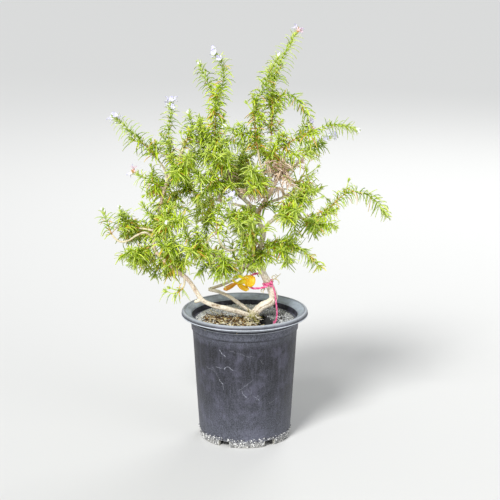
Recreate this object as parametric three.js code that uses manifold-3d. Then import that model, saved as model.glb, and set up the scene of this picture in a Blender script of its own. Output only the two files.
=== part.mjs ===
// A rosemary grown as an informal bonsai in a black nursery pot.
//
// Units are millimetres and +Z is up. The pot stands on the plane z = 0 and the plant is seen
// from -Y. The woody trunk and limbs are one solid. Each leafy stem that grows from them is a
// solid of its own, with its side shoots and needles fused to it, and starts just clear of the
// wood's cut-off twig end.
import * as THREE from 'three';
import { mergeVertices } from 'three/addons/utils/BufferGeometryUtils.js';
import Module from 'manifold-3d';

const wasm = await Module();
wasm.setup();

// Driving dimensions

const POT = {
  height: 172,
  rimRadius: 82.5,
  footRadius: 58.6,
  wall: 1.8,
  plateUnderside: 9,
  plateTop: 11,
  collarZ: 148,
  facets: 30,
  notches: 6,
  notchAzimuth: 33,
  notchWidth: 15,
  notchHeight: 8.2,
  drainRadius: 6,
  drainCircle: 38,
};
const SOIL = { level: 154, mound: 3.5, hollow: 2.5, radius: 66.8, gap: 0.35, facets: 20, rings: 3 };
const ROOT = { x: 10, y: 0, radius: 7, bottom: 128, shoulder: 157, top: 163.5, facets: 9, gap: 0.45 };
const NEEDLE = { length: 15.5, base: 1.5, radius: 0.75, spacing: 11, turn: 0.72, angle: 57, tipAngle: 26 };
const SIDE_SHOOT = { length: 28, angle: 48 };
const STEM = { radius: 1.5, forkRadius: 1.3, tipRadius: 0.9, twigStep: 26 };
const TWIG = { flare: 2.1 };
const SLIVER = 0.03; // detail below this is smoothed away where solids are joined
const JOINT_GAP = 0.3; // between a leafy stem and the twig end that carries it
const CLEARANCE = 0.4; // between a needle and anything of another solid
const APART = 0.15; // between two needles of the same stem
const WRAP = { x: 30.2, z: 207, depth: 3, innerRadius: 5.45, cord: 2.2, pitch: 1.5, knot: 2.9 };
const TIE = { loopRadius: 1.5, tailRadius: 1.15, sides: 8 };
const RIBBON = { x: 6, z: 209.3, depth: -4, thickness: 1.2 };
const BLOSSOM = { petal: 5.4, petalWidth: 3.4, thickness: 0.9, tube: 4.5, reach: 8.5 };

// The plant's points are read in the pot's middle plane, as the eye sees them from the front, and
// slid along the line of sight to their depth. The eye is where the photograph was taken from.
const EYE = new THREE.Vector3(7, -1887, 715);

function seen([x, z, depth]) {
  const far = 1 - depth / EYE.y;
  return new THREE.Vector3(EYE.x + (x - EYE.x) * far, depth, EYE.z + (z - EYE.z) * far);
}

// Limbs: name, parent, radius at the start and the end, sides, steps, points [x, z, depth]
const LIMBS = [
  ['trunk', null, 5.2, 2.3, 7, 22, [[10, 155, 0], [11, 162, 0], [17, 170, 1], [24.5, 176, 1.5],
    [33, 180, 2.5], [37.5, 185.5, 3], [37.3, 191, 3], [34.8, 197.5, 3], [30.7, 206, 3],
    [25, 217, 3], [20, 227.5, 3.5], [17.5, 238, 4.5], [18, 248, 5], [22, 262, 6], [24, 275, 6],
    [19, 288, 6], [18, 300, 6], [24, 312, 7], [31, 322, 8], [37, 335, 9], [44, 347, 10],
    [51, 356, 11]]],
  ['left_limb', 'trunk', 3.6, 1.5, 6, 20, [[10, 158, 0], [3, 163, -2], [-8, 167.5, -4], [-24, 172, -8],
    [-37, 175, -9], [-48, 179, -10], [-56.5, 184, -10], [-62, 192.5, -9], [-69.3, 205, -7],
    [-77, 214.5, -6], [-87, 221.5, -5], [-95, 229.5, -4], [-106, 239, -2], [-115, 249, 0],
    [-118, 260, 2], [-114, 274, 3], [-112, 290, 3], [-108, 310, 2], [-103, 331, 0],
    [-96, 350, 0], [-87, 367, 2], [-80, 379, 4]]],
  ['cut_stub', 'left_limb', 2.3, 2.0, 6, 1, [[-57, 183.5, -10], [-65, 181, -11]]],
  ['bent_limb', 'trunk', 2.7, 1.7, 6, 12, [[10, 159, 1], [9, 166, 2], [4, 170.5, 4], [-7.5, 179, 8],
    [-15.5, 185, 11], [-23.5, 190, 13], [-36, 195.3, 16], [-46.5, 197.8, 19], [-41, 199.8, 21.5],
    [-33, 202.5, 23], [-20.5, 207.8, 26], [-11, 213, 27], [-3, 226, 28]]],
  ['low_left_limb', 'trunk', 2.4, 1.5, 5, 6, [[18, 240, 4], [8, 232, -1], [-6, 230, -8],
    [-22, 235, -14], [-38, 243, -18], [-52, 250, -22]]],
  ['centre_limb', 'trunk', 2.6, 1.6, 5, 6, [[18, 300, 6], [8, 310, 4], [-5, 322, 2],
    [-18, 338, 0], [-30, 356, -2], [-37, 374, 0]]],
  ['right_limb', 'trunk', 2.5, 1.6, 5, 6, [[24, 275, 6], [29, 284, 3], [37, 291, 0],
    [47, 297, -3], [60, 298, -2], [74, 293, 0], [87, 288, 2]]],
  ['rear_limb', 'trunk', 2.4, 1.7, 5, 4, [[19, 288, 6], [14, 296, 25], [8, 306, 48],
    [0, 318, 70]]],
  ['rear_left_limb', 'rear_limb', 1.8, 1.6, 5, 4, [[8, 306, 48], [-15, 312, 58], [-40, 318, 68],
    [-62, 322, 75]]],
  ['rear_right_limb', 'trunk', 2.2, 1.6, 5, 4, [[24, 312, 7], [38, 316, 25], [52, 322, 42],
    [64, 330, 56]]],
  ['upper_limb', 'trunk', 2.2, 1.6, 5, 4, [[37, 335, 9], [31, 350, 8], [31, 372, 8],
    [34, 396, 9]]],
];

// Leafy stems: name, limb, share that is bare wood, side shoots, points [x, z, depth], forks.
// A fork is a list of points that starts on the stem.
const STEMS = [
  ['stem_upper_left', 'left_limb', 0.34, 2, [[-100, 341, 0], [-102, 356, -4], [-112, 371, -8],
    [-123, 384, -12], [-137, 399, -15], [-150, 411, -17], [-162, 421, -18]], []],
  ['stem_left_spire', 'left_limb', 0.16, 2, [[-96, 350, 0], [-93, 366, 6], [-96, 388, 12],
    [-96, 408, 17], [-94, 425, 21], [-93, 440, 24]], []],
  ['stem_left_leader', 'left_limb', 0.06, 2, [[-80, 379, 4], [-73, 396, 6], [-67, 411, 8],
    [-70, 427, 8]], []],
  ['stem_centre_spire', 'centre_limb', 0.04, 3, [[-37, 374, 0], [-38, 398, 1], [-37, 422, 0],
    [-35, 444, -3], [-29, 460, -7], [-26, 476, -11], [-28, 491, -15], [-35, 503, -18]],
    [[[-36, 440, -2], [-41, 458, 4], [-49, 474, 10], [-56, 490, 15]]]],
  ['stem_centre_left', 'centre_limb', 0.12, 2, [[-34, 366, -1], [-44, 376, 8], [-53, 390, 14],
    [-58, 404, 18], [-57, 418, 20]], []],
  ['stem_tall', 'upper_limb', 0.04, 3, [[34, 396, 9], [35, 425, 14], [35, 450, 19],
    [38, 474, 23], [46, 495, 27], [55, 513, 30], [64, 529, 32]],
    [[[35, 438, 17], [44, 448, 12], [55, 453, 8], [65, 448, 5], [73, 437, 3], [80, 424, 2],
      [84, 415, 2]]]],
  ['stem_tall_left', 'trunk', 0.36, 2, [[31, 322, 8], [25, 345, -4], [19, 370, -10],
    [15, 395, -12], [13, 420, -12], [15, 442, -10], [21, 458, -8], [28, 472, -6],
    [36, 487, -2], [42, 499, 0]],
    [[[14.5, 401, -12], [4, 401, -16], [-8, 406, -22], [-22, 411, -26]]]],
  ['stem_upper_right', 'trunk', 0.3, 2, [[46, 349, 10], [46, 368, -5], [50, 384, -12],
    [62, 395, -14], [78, 403, -14], [94, 410, -12], [110, 415, -10], [126, 413, -8],
    [140, 409, -8]], []],
  ['stem_right_flowering', 'trunk', 0.46, 2, [[51, 356, 11], [61, 361, 12], [70, 366, 12],
    [77, 376, 10], [86, 386, 8], [97, 392, 6], [107, 397, 5]], []],
  ['stem_right_twig', 'trunk', 0.42, 2, [[44, 347, 10], [56, 342, 14], [68, 340, 18],
    [78, 345, 18], [88, 351, 18]], []],
  ['stem_right_tuft', 'right_limb', 0.3, 2, [[58, 298, -2], [64, 310, -6], [72, 320, -10],
    [82, 327, -12], [93, 331, -14]], []],
  ['stem_far_right', 'right_limb', 0.16, 2, [[87, 288, 2], [97, 294, 0], [107, 304, -4],
    [118, 316, -8], [130, 325, -12], [144, 328, -15], [158, 323, -17], [169, 315, -18],
    [177, 305, -19], [183, 296, -19]], []],
  ['stem_right_low', 'right_limb', 0.1, 2, [[70, 294, 0], [82, 288, -10], [95, 286, -18],
    [108, 286, -24], [118, 281, -28]],
    [[[78, 290, -7], [84, 281, 6], [94, 276, 16]]]],
  ['stem_right_front', 'right_limb', 0.14, 2, [[47, 297, -3], [54, 302, -22], [62, 305, -44],
    [68, 302, -64]], []],
  ['stem_low_right', 'trunk', 0.12, 2, [[19, 250, 5], [28, 258, -6], [41, 263, -14],
    [55, 261, -19], [68, 255, -22], [79, 247, -24], [88, 238, -25]],
    [[[36, 262, -12], [45, 253, -24], [54, 244, -32], [60, 235, -36]]]],
  ['stem_front_curved', 'trunk', 0.62, 0, [[18, 243, 5], [6, 250, -8], [-10, 251, -20],
    [-23, 251, -30], [-31, 259, -37], [-35, 273, -41], [-36, 288, -42], [-33, 302, -42],
    [-26, 313, -42], [-20, 318, -42]], []],
  ['stem_left_front', 'left_limb', 0.12, 2, [[-113, 280, 3], [-108, 283, -18],
    [-103, 286, -40], [-101, 287, -58]],
    [[[-108.5, 283, -15], [-97, 288, -32], [-86, 292, -50], [-78, 293, -66]]]],
  ['stem_low_front', 'low_left_limb', 0.06, 2, [[-52, 250, -22], [-60, 251, -38],
    [-67, 251, -56], [-72, 249, -74]], []],
  ['stem_centre_front_left', 'centre_limb', 0.12, 2, [[-18, 338, 0], [-30, 338, -22],
    [-45, 342, -44], [-60, 346, -64]], []],
  ['stem_centre_front_high', 'centre_limb', 0.12, 2, [[-30, 356, -2], [-28, 362, -22],
    [-24, 370, -44], [-20, 379, -62]], []],
  ['stem_front_high', 'trunk', 0.2, 2, [[31, 322, 8], [24, 336, -12], [14, 348, -34],
    [8, 360, -56]], []],
  ['stem_front_mid', 'trunk', 0.16, 2, [[18, 300, 6], [8, 298, -16], [-3, 293, -40],
    [-10, 285, -62]], []],
  ['stem_front_low', 'trunk', 0.16, 2, [[20, 256, 5], [12, 264, -20], [8, 276, -44],
    [10, 290, -64]], []],
  ['stem_hanging', 'low_left_limb', 0.12, 2, [[-22, 235, -14], [-26, 230, -30],
    [-30, 221, -42], [-36, 212, -48]],
    [[[-24, 233, -22], [-14, 226, -32], [-10, 215, -36]]]],
  ['stem_left_flowering', 'left_limb', 0.16, 1, [[-103, 331, 0], [-114, 338, -6],
    [-126, 345, -10], [-137, 351, -12]],
    [[[-112, 337, -5], [-120, 329, -12], [-130, 322, -16]]]],
  ['stem_left_high_front', 'left_limb', 0.1, 2, [[-95, 352, 0], [-86, 354, -18],
    [-77, 362, -38], [-72, 374, -56]], []],
  ['stem_middle_high', 'centre_limb', 0.14, 2, [[-5, 322, 2], [-10, 338, 14], [-8, 358, 22],
    [-2, 380, 26], [0, 397, 28]], []],
  ['stem_far_left', 'left_limb', 0.68, 0, [[-117, 266, 2], [-128, 274, -2], [-140, 270, -5],
    [-151, 263, -8], [-161, 262, -10], [-170, 269, -12], [-176, 283, -13], [-181, 300, -14]],
    []],
  ['stem_left_tuft', 'left_limb', 0.4, 2, [[-114, 276, 3], [-130, 279, 10], [-145, 282, 12],
    [-155, 291, 12], [-159, 303, 12]], []],
  ['stem_left_low_front', 'left_limb', 0.12, 2, [[-118, 257, 2], [-129, 252, -8],
    [-140, 244, -14], [-149, 235, -18]], []],
  ['stem_left_hanging', 'left_limb', 0.1, 2, [[-114, 246, 0], [-122, 243, 10],
    [-128, 235, 16], [-127, 223, 20]], []],
  ['stem_left_inner', 'left_limb', 0.12, 2, [[-106, 235, -2], [-99, 244, -18],
    [-93, 255, -34], [-90, 268, -46]], []],
  ['stem_small_low', 'left_limb', 0.36, 1, [[-80, 213, -6], [-79, 203, -10], [-84, 196, -12],
    [-94, 192, -13], [-104, 197, -13]], []],
  ['stem_rear_top', 'rear_limb', 0.04, 3, [[0, 318, 70], [-3, 336, 82], [-4, 358, 88],
    [0, 382, 88]],
    [[[-1.5, 327, 77], [14, 340, 88], [28, 356, 95], [38, 374, 98]]]],
  ['stem_rear_middle', 'trunk', 0.3, 2, [[44, 347, 10], [41, 360, 26], [32, 373, 44],
    [20, 385, 56], [11, 398, 62]], []],
  ['stem_rear_low', 'rear_limb', 0.14, 2, [[6, 308, 52], [0, 298, 74], [-4, 284, 94],
    [-6, 268, 106]], []],
  ['stem_rear_left', 'rear_left_limb', 0.04, 2, [[-62, 322, 75], [-72, 338, 82],
    [-78, 358, 85], [-80, 380, 84]],
    [[[-66, 329, 78.5], [-84, 326, 86], [-100, 316, 92], [-112, 303, 94]]]],
  ['stem_rear_left_low', 'rear_left_limb', 0.12, 2, [[-40, 318, 68], [-44, 302, 84],
    [-48, 284, 96], [-50, 266, 102]], []],
  ['stem_rear_right', 'rear_right_limb', 0.04, 2, [[64, 330, 56], [72, 344, 64],
    [80, 362, 68], [88, 380, 68]],
    [[[67, 335.5, 59.5], [82, 332, 70], [96, 326, 78], [108, 317, 80]]]],
  ['stem_left_rear', 'left_limb', 0.12, 2, [[-106, 318, 2], [-110, 328, 24],
    [-116, 344, 42], [-120, 362, 50]], []],
  ['stem_left_rear_low', 'left_limb', 0.12, 2, [[-115, 270, 3], [-124, 276, 24],
    [-136, 280, 44], [-146, 288, 56]], []],
  ['stem_low_rear', 'left_limb', 0.12, 2, [[-104, 233, -3], [-98, 234, 20], [-92, 234, 42],
    [-88, 228, 60]], []],
  ['stem_bent_rear', 'bent_limb', 0.04, 2, [[-3, 228, 28], [4, 238, 44], [10, 252, 58],
    [12, 268, 70]], []],
  ['dead_twig_right', 'trunk', 0.2, 2, [[45, 348, 10], [48, 357, -6], [50, 367, -20]],
    [[[47, 353, -1], [54, 346, -14], [60, 337, -26]]]],
  ['dead_twig_centre', 'trunk', 0.2, 2, [[27, 317, 7], [22, 326, -8], [20, 338, -22]], []],
];

// Stems that end in flowers, with the number of open blossoms
const BLOOMS = {
  stem_upper_left: 3,
  stem_left_spire: 4,
  stem_centre_spire: 2,
  stem_tall: 3,
  stem_right_flowering: 2,
  stem_left_flowering: 2,
  stem_front_curved: 3,
};
const FORK_BLOOM = { stem: 'stem_tall', blossoms: 2 }; // the arching fork flowers as well

const COLOUR = {
  pot: 0x34373c,
  soil: 0x4a4038,
  bark: 0xc9b79c,
  needle: 0x8fae2e,
  dead: 0xa58562,
  petal: 0xd9d8f2,
  tie: 0xd8397c,
  ribbon: 0xf6b312,
};

// Solids and meshes

// A closed geometry as a manifold-3d solid
function solid(geometry) {
  const plain = new THREE.BufferGeometry();
  plain.setAttribute('position', geometry.getAttribute('position'));
  plain.setIndex(geometry.index);
  const merged = mergeVertices(plain, 1e-4);
  const { array } = merged.index;
  const triVerts = [];
  for (let i = 0; i < array.length; i += 3) {
    const [a, b, c] = array.slice(i, i + 3);
    if (a !== b && b !== c && c !== a) triVerts.push(a, b, c);
  }
  return new wasm.Manifold(new wasm.Mesh({
    numProp: 3,
    vertProperties: merged.attributes.position.array,
    triVerts: new Uint32Array(triVerts),
  }));
}

function joined(solids) {
  return solids.reduce((whole, next) => whole.add(next));
}

const group = new THREE.Group();

function addGeometry(name, geometry, color, roughness) {
  geometry.computeVertexNormals();
  const material = new THREE.MeshStandardMaterial({ color, roughness, metalness: 0 });
  const mesh = new THREE.Mesh(geometry, material);
  mesh.name = name;
  group.add(mesh);
}

function addMesh(name, made, color, roughness) {
  const { vertProperties, triVerts } = made.simplify(SLIVER).getMesh();
  const geometry = new THREE.BufferGeometry();
  geometry.setAttribute('position', new THREE.BufferAttribute(vertProperties, 3));
  geometry.setIndex(new THREE.BufferAttribute(triVerts, 1));
  addGeometry(name, geometry, color, roughness);
}

// A repeatable pseudo-random number from 0 to 1
function chance(a, b) {
  const value = Math.sin(a * 12.9898 + b * 78.233) * 43758.5453;
  return value - Math.floor(value);
}

// Clearances: every round or tapered body is kept as segments with a radius and an owner

const kept = [];

function segmentDistance(p1, q1, p2, q2) {
  const d1 = q1.clone().sub(p1);
  const d2 = q2.clone().sub(p2);
  const r = p1.clone().sub(p2);
  const a = d1.dot(d1);
  const e = d2.dot(d2);
  const f = d2.dot(r);
  const c = d1.dot(r);
  const b = d1.dot(d2);
  const denominator = a * e - b * b;
  let s = denominator > 1e-9 ? THREE.MathUtils.clamp((b * f - c * e) / denominator, 0, 1) : 0;
  let t = (b * s + f) / e;
  if (t < 0 || t > 1) {
    t = THREE.MathUtils.clamp(t, 0, 1);
    s = THREE.MathUtils.clamp((b * t - c) / a, 0, 1);
  }
  return p1.clone().addScaledVector(d1, s).distanceTo(p2.clone().addScaledVector(d2, t));
}

function keep(owner, from, to, radius, shoot = null) {
  const middle = from.clone().lerp(to, 0.5);
  kept.push({ owner, shoot, from, to, radius, middle, reach: from.distanceTo(to) / 2 + radius });
}

// True if a segment is clear of what other owners keep, and of its own stem's needles and forks
function isClear(owner, from, to, radius, shoot) {
  const middle = from.clone().lerp(to, 0.5);
  const half = from.distanceTo(to) / 2 + radius;
  return kept.every((other) => {
    if (other.owner === owner && other.shoot === shoot) return true;
    const margin = other.owner === owner ? APART : CLEARANCE;
    if (middle.distanceTo(other.middle) > half + other.reach + margin) return true;
    return segmentDistance(from, to, other.from, other.to) > radius + other.radius + margin;
  });
}

// Curves and tapered tubes

function curveThrough(points) {
  return new THREE.CatmullRomCurve3(points, false, 'centripetal');
}

function nearestOn(curve, point, samples = 200) {
  const near = curve.getPoints(samples);
  return near.reduce((best, p) => (p.distanceTo(point) < best.distanceTo(point) ? p : best));
}

// Rings at given shares of a curve: centre, tangent and two directions across it
function ringsAt(curve, shares) {
  let across = null;
  return shares.map((u, i) => {
    const tangent = curve.getTangentAt(Math.min(u, 1)).normalize();
    if (!across) {
      const helper = Math.abs(tangent.z) < 0.9 ? new THREE.Vector3(0, 0, 1) : new THREE.Vector3(0, 1, 0);
      across = helper.cross(tangent).normalize();
    } else {
      across.addScaledVector(tangent, -across.dot(tangent)).normalize();
    }
    const across2 = tangent.clone().cross(across).normalize();
    const centre = curve.getPointAt(Math.min(u, 1));
    return { centre, tangent, across: across.clone(), across2, share: i / (shares.length - 1) };
  });
}

function ringsAlong(curve, from, to, steps) {
  return ringsAt(curve, Array.from({ length: steps + 1 }, (_, i) => from + (to - from) * (i / steps)));
}

function radial(ring, angle) {
  return ring.across.clone().multiplyScalar(Math.cos(angle)).addScaledVector(ring.across2, Math.sin(angle));
}

// A closed tube through rings, with radiusAt(share) and a number of sides
function tube(rings, radiusAt, sides) {
  const positions = [];
  rings.forEach((ring) => {
    for (let k = 0; k < sides; k += 1) {
      const angle = ((k + 0.5) * 2 * Math.PI) / sides;
      const p = ring.centre.clone().addScaledVector(radial(ring, angle), radiusAt(ring.share));
      positions.push(p.x, p.y, p.z);
    }
  });
  const indices = [];
  for (let i = 0; i < rings.length - 1; i += 1) {
    for (let k = 0; k < sides; k += 1) {
      const a = i * sides + k;
      const b = i * sides + ((k + 1) % sides);
      indices.push(a, b, b + sides, a, b + sides, a + sides);
    }
  }
  const last = (rings.length - 1) * sides;
  for (let k = 1; k < sides - 1; k += 1) {
    indices.push(0, k + 1, k, last, last + k, last + k + 1);
  }
  const geometry = new THREE.BufferGeometry();
  geometry.setAttribute('position', new THREE.Float32BufferAttribute(positions, 3));
  geometry.setIndex(indices);
  return solid(geometry);
}

function keepTube(owner, shoot, rings, radiusAt) {
  for (let i = 0; i < rings.length - 1; i += 1) {
    const radius = Math.max(radiusAt(rings[i].share), radiusAt(rings[i + 1].share));
    keep(owner, rings[i].centre, rings[i + 1].centre, radius, shoot);
  }
}

function lerp(a, b) {
  return (share) => a + (b - a) * share;
}

// Pot and soil

function lathe(profile, facets) {
  const points = profile.map(([r, z]) => new THREE.Vector2(r, z));
  return new THREE.LatheGeometry(points, facets).rotateX(Math.PI / 2);
}

function potSolid() {
  const h = POT.height;
  const inner = POT.footRadius - POT.wall + 1.4;
  const profile = [
    [0, POT.plateUnderside], [54.6, POT.plateUnderside], [55.4, 0], [POT.footRadius, 0],
    [60, 8], [68.4, POT.collarZ - 1], [69.8, POT.collarZ + 1], [71.6, h - 9],
    [80.8, h - 5.8], [POT.rimRadius, h - 3.6], [81.6, h - 0.8], [79.4, h],
    [69, h - 6], [67.4, POT.collarZ], [inner, POT.plateTop + 1], [inner - 1.2, POT.plateTop],
    [0, POT.plateTop],
  ];
  let pot = solid(lathe(profile, POT.facets));
  for (let k = 0; k < POT.notches; k += 1) {
    const azimuth = THREE.MathUtils.degToRad(POT.notchAzimuth + (k * 360) / POT.notches - 90);
    const out = new THREE.Vector3(Math.cos(azimuth), Math.sin(azimuth), 0);
    const notch = new THREE.BoxGeometry(14, POT.notchWidth, POT.notchHeight * 2)
      .rotateZ(azimuth)
      .translate(out.x * POT.footRadius, out.y * POT.footRadius, 0);
    const drain = new THREE.CylinderGeometry(POT.drainRadius, POT.drainRadius, 6, 8)
      .rotateX(Math.PI / 2)
      .translate(out.x * POT.drainCircle, out.y * POT.drainCircle, POT.plateUnderside + 1);
    pot = pot.subtract(solid(notch)).subtract(solid(drain));
  }
  return pot;
}

// Height of the soil: a low mound of mulch on the left, a shallow hollow on the right
function soilHeight(x, y) {
  const mound = Math.exp(-(((x + 28) / 26) ** 2) - (((y + 8) / 30) ** 2));
  const hollow = Math.exp(-(((x - 40) / 22) ** 2) - (((y + 26) / 16) ** 2));
  return SOIL.level + SOIL.mound * mound - SOIL.hollow * hollow;
}

function soilSolid() {
  const bottom = POT.plateTop + SOIL.gap;
  const profile = [[0, bottom], [56.4, bottom], [SOIL.radius - 0.2, POT.collarZ],
    [SOIL.radius, SOIL.level]];
  for (let i = SOIL.rings; i >= 0; i -= 1) {
    profile.push([(SOIL.radius * i) / (SOIL.rings + 1), SOIL.level]);
  }
  const geometry = lathe(profile, SOIL.facets);
  const { position } = geometry.attributes;
  for (let i = 0; i < position.count; i += 1) {
    if (position.getZ(i) > SOIL.level - 0.01) {
      position.setZ(i, soilHeight(position.getX(i), position.getY(i)));
    }
  }
  const depth = 2 * (SOIL.level - ROOT.bottom + 0.5);
  const holeRadius = ROOT.radius + ROOT.gap;
  const hole = new THREE.CylinderGeometry(holeRadius, holeRadius, depth, ROOT.facets)
    .rotateX(Math.PI / 2)
    .translate(ROOT.x, ROOT.y, SOIL.level);
  return solid(geometry).subtract(solid(hole));
}

// Wood: root, trunk, limbs and the bare foot of each leafy stem

const limbCurves = {};
const woodSolids = [];

function addRoot() {
  const profile = [[0, ROOT.bottom], [ROOT.radius - 1, ROOT.bottom], [ROOT.radius, ROOT.bottom + 3],
    [ROOT.radius, ROOT.shoulder], [ROOT.radius - 2.4, ROOT.top], [0, ROOT.top]];
  woodSolids.push(solid(lathe(profile, ROOT.facets).translate(ROOT.x, ROOT.y, 0)));
  const bottom = new THREE.Vector3(ROOT.x, ROOT.y, ROOT.bottom);
  keep('wood', bottom, bottom.clone().setZ(ROOT.top), ROOT.radius, 'wood');
}

function addLimbs() {
  LIMBS.forEach(([name, parent, startRadius, endRadius, sides, steps, spots]) => {
    const points = spots.map(seen);
    if (parent) points[0] = nearestOn(limbCurves[parent], points[0]);
    const curve = points.length > 2 ? curveThrough(points) : new THREE.LineCurve3(points[0], points[1]);
    limbCurves[name] = curve;
    const rings = ringsAlong(curve, 0, 1, steps);
    woodSolids.push(tube(rings, lerp(startRadius, endRadius), sides));
    keepTube('wood', 'wood', rings, lerp(startRadius, endRadius));
  });
}

// Leafy stems
//
// A leafy shoot is a square stem with short stations along it. At a station each face of the stem
// is drawn out into a needle, or carries on as a fork or a side shoot. So a whole leafy stem is one
// closed mesh, with nothing laid over anything else.

const SIDES = 4;

// Rings and corners of a shoot. A shoot that grows out of a face starts with that face's corners.
function layOut(shoot) {
  const { curve, start, radius, base } = shoot;
  const leafy = (1 - start) * curve.getLength();
  const first = base ? 4.2 : 2.5;
  const stations = Math.max(1, Math.round((leafy - first - 1) / NEEDLE.spacing));
  const spots = [0];
  for (let i = 0; i < stations; i += 1) {
    const at = first + ((leafy - first - 2.5) * (i + 0.2)) / stations;
    spots.push(at - NEEDLE.base / 2, at + NEEDLE.base / 2);
  }
  shoot.shares = [...spots, leafy].map((at) => at / leafy);
  shoot.rings = ringsAt(curve, shoot.shares.map((share) => start + (1 - start) * share));
  const [ring] = shoot.rings;
  let twist = shoot.turn;
  if (base) {
    const corner = base.corners[0].clone().sub(base.centre);
    twist = Math.atan2(corner.dot(ring.across2), corner.dot(ring.across)) + Math.PI / SIDES;
  }
  shoot.twists = shoot.rings.map((_, i) => twist + Math.ceil(i / 2) * NEEDLE.turn);
  shoot.corners = shoot.rings.slice(0, -1).map(({ centre }, i) => {
    const size = THREE.MathUtils.lerp(radius, STEM.tipRadius, shoot.shares[i]);
    return Array.from({ length: SIDES }, (_, k) => centre.clone()
      .addScaledVector(radial(shoot.rings[i], faceAngle(shoot, i, k - 0.5)), size));
  });
  if (base) shoot.corners[0] = base.corners;
  shoot.children = new Map();
  for (let i = 0; i < shoot.rings.length - 1; i += 1) {
    const size = THREE.MathUtils.lerp(radius, STEM.tipRadius, shoot.shares[i]);
    keep(shoot.owner, shoot.rings[i].centre, shoot.rings[i + 1].centre, size, shoot.id);
  }
}

function faceAngle(shoot, i, k) {
  return shoot.twists[i] + (k * 2 * Math.PI) / SIDES;
}

// The face k of station i: its corners, anticlockwise from outside, its centre and its outward side
function faceOf(shoot, i, k) {
  const next = (k + 1) % SIDES;
  const [here, beyond] = [shoot.corners[i], shoot.corners[i + 1]];
  const corners = [here[k], here[next], beyond[next], beyond[k]];
  const centre = corners.reduce((sum, c) => sum.add(c), new THREE.Vector3()).multiplyScalar(1 / SIDES);
  const outward = radial(shoot.rings[i], faceAngle(shoot, i, k));
  return { corners, centre, outward, tangent: shoot.rings[i].tangent };
}

// Stations are the odd intervals between rings
function stationNearest(shoot, point) {
  let best = 1;
  for (let i = 1; i < shoot.rings.length - 2; i += 2) {
    if (shoot.rings[i].centre.distanceTo(point) < shoot.rings[best].centre.distanceTo(point)) best = i;
  }
  return best;
}

function faceTowards(shoot, i, direction) {
  const faces = Array.from({ length: SIDES }, (_, k) => k).filter((k) => !shoot.children.has(`${i} ${k}`));
  const outward = (k) => radial(shoot.rings[i], faceAngle(shoot, i, k)).dot(direction);
  return faces.reduce((best, k) => (outward(k) > outward(best) ? k : best));
}

function stemPlan([name, limb, bare, sideShoots, spots, forks], index) {
  const points = spots.map(seen);
  points[0] = nearestOn(limbCurves[limb], points[0]);
  const curve = curveThrough(points);
  const length = curve.getLength();
  const foot = Math.max(bare, 5 / length);
  const footRings = ringsAlong(curve, 0, foot, Math.max(1, Math.round((foot * length) / STEM.twigStep)));
  woodSolids.push(tube(footRings, lerp(TWIG.flare, STEM.radius), 3));
  keepTube('wood', 'wood', footRings, lerp(TWIG.flare, STEM.radius));
  const main = {
    owner: name, id: 'main', curve, start: foot + JOINT_GAP / length, radius: STEM.radius, turn: index * 1.7,
  };
  layOut(main);
  return { name, seed: index + 1, sideShoots, forks, main, shoots: [main] };
}

// A fork leaves the face that looks its way, steps clear of the stem and follows its own points
function addForks(plan) {
  plan.forks.forEach((fork, k) => {
    const points = fork.map(seen);
    const i = stationNearest(plan.main, points[0]);
    const side = faceTowards(plan.main, i, points[1].clone().sub(points[0]).normalize());
    const base = faceOf(plan.main, i, side);
    const clear = base.centre.clone().addScaledVector(base.outward, 2.6).addScaledVector(base.tangent, 1.6);
    const shoot = {
      owner: plan.name, id: `fork ${k}`, start: 0, radius: STEM.forkRadius, base,
      curve: curveThrough([base.centre, clear, ...points.slice(1)]),
    };
    layOut(shoot);
    plan.main.children.set(`${i} ${side}`, shoot);
    plan.shoots.push(shoot);
  });
}

// Side shoots leave the stem at even shares of its leafy length, a golden angle apart
function addSideShoots(plan) {
  const { main, seed } = plan;
  const stations = (main.rings.length - 2) / 2;
  for (let k = 0; k < plan.sideShoots; k += 1) {
    const i = 1 + 2 * Math.floor(stations * (0.05 + (0.75 * k) / plan.sideShoots));
    const side = faceTowards(main, i, radial(main.rings[i], k * 2.4 + seed));
    const base = faceOf(main, i, side);
    const lean = THREE.MathUtils.degToRad(SIDE_SHOOT.angle);
    const direction = base.outward.clone().multiplyScalar(Math.sin(lean))
      .addScaledVector(base.tangent, Math.cos(lean)).normalize();
    const length = SIDE_SHOOT.length * (0.75 + 0.5 * chance(seed, k));
    const middle = base.centre.clone().addScaledVector(direction, length * 0.5);
    const end = base.centre.clone().addScaledVector(direction, length);
    end.z += length * 0.14;
    const id = `side ${k}`;
    if (isClear(plan.name, middle, end, 2.4, id)) {
      const shoot = {
        owner: plan.name, id, start: 0, radius: STEM.forkRadius, base,
        curve: curveThrough([base.centre, middle, end]),
      };
      layOut(shoot);
      main.children.set(`${i} ${side}`, shoot);
      plan.shoots.push(shoot);
    }
  }
}

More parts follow.
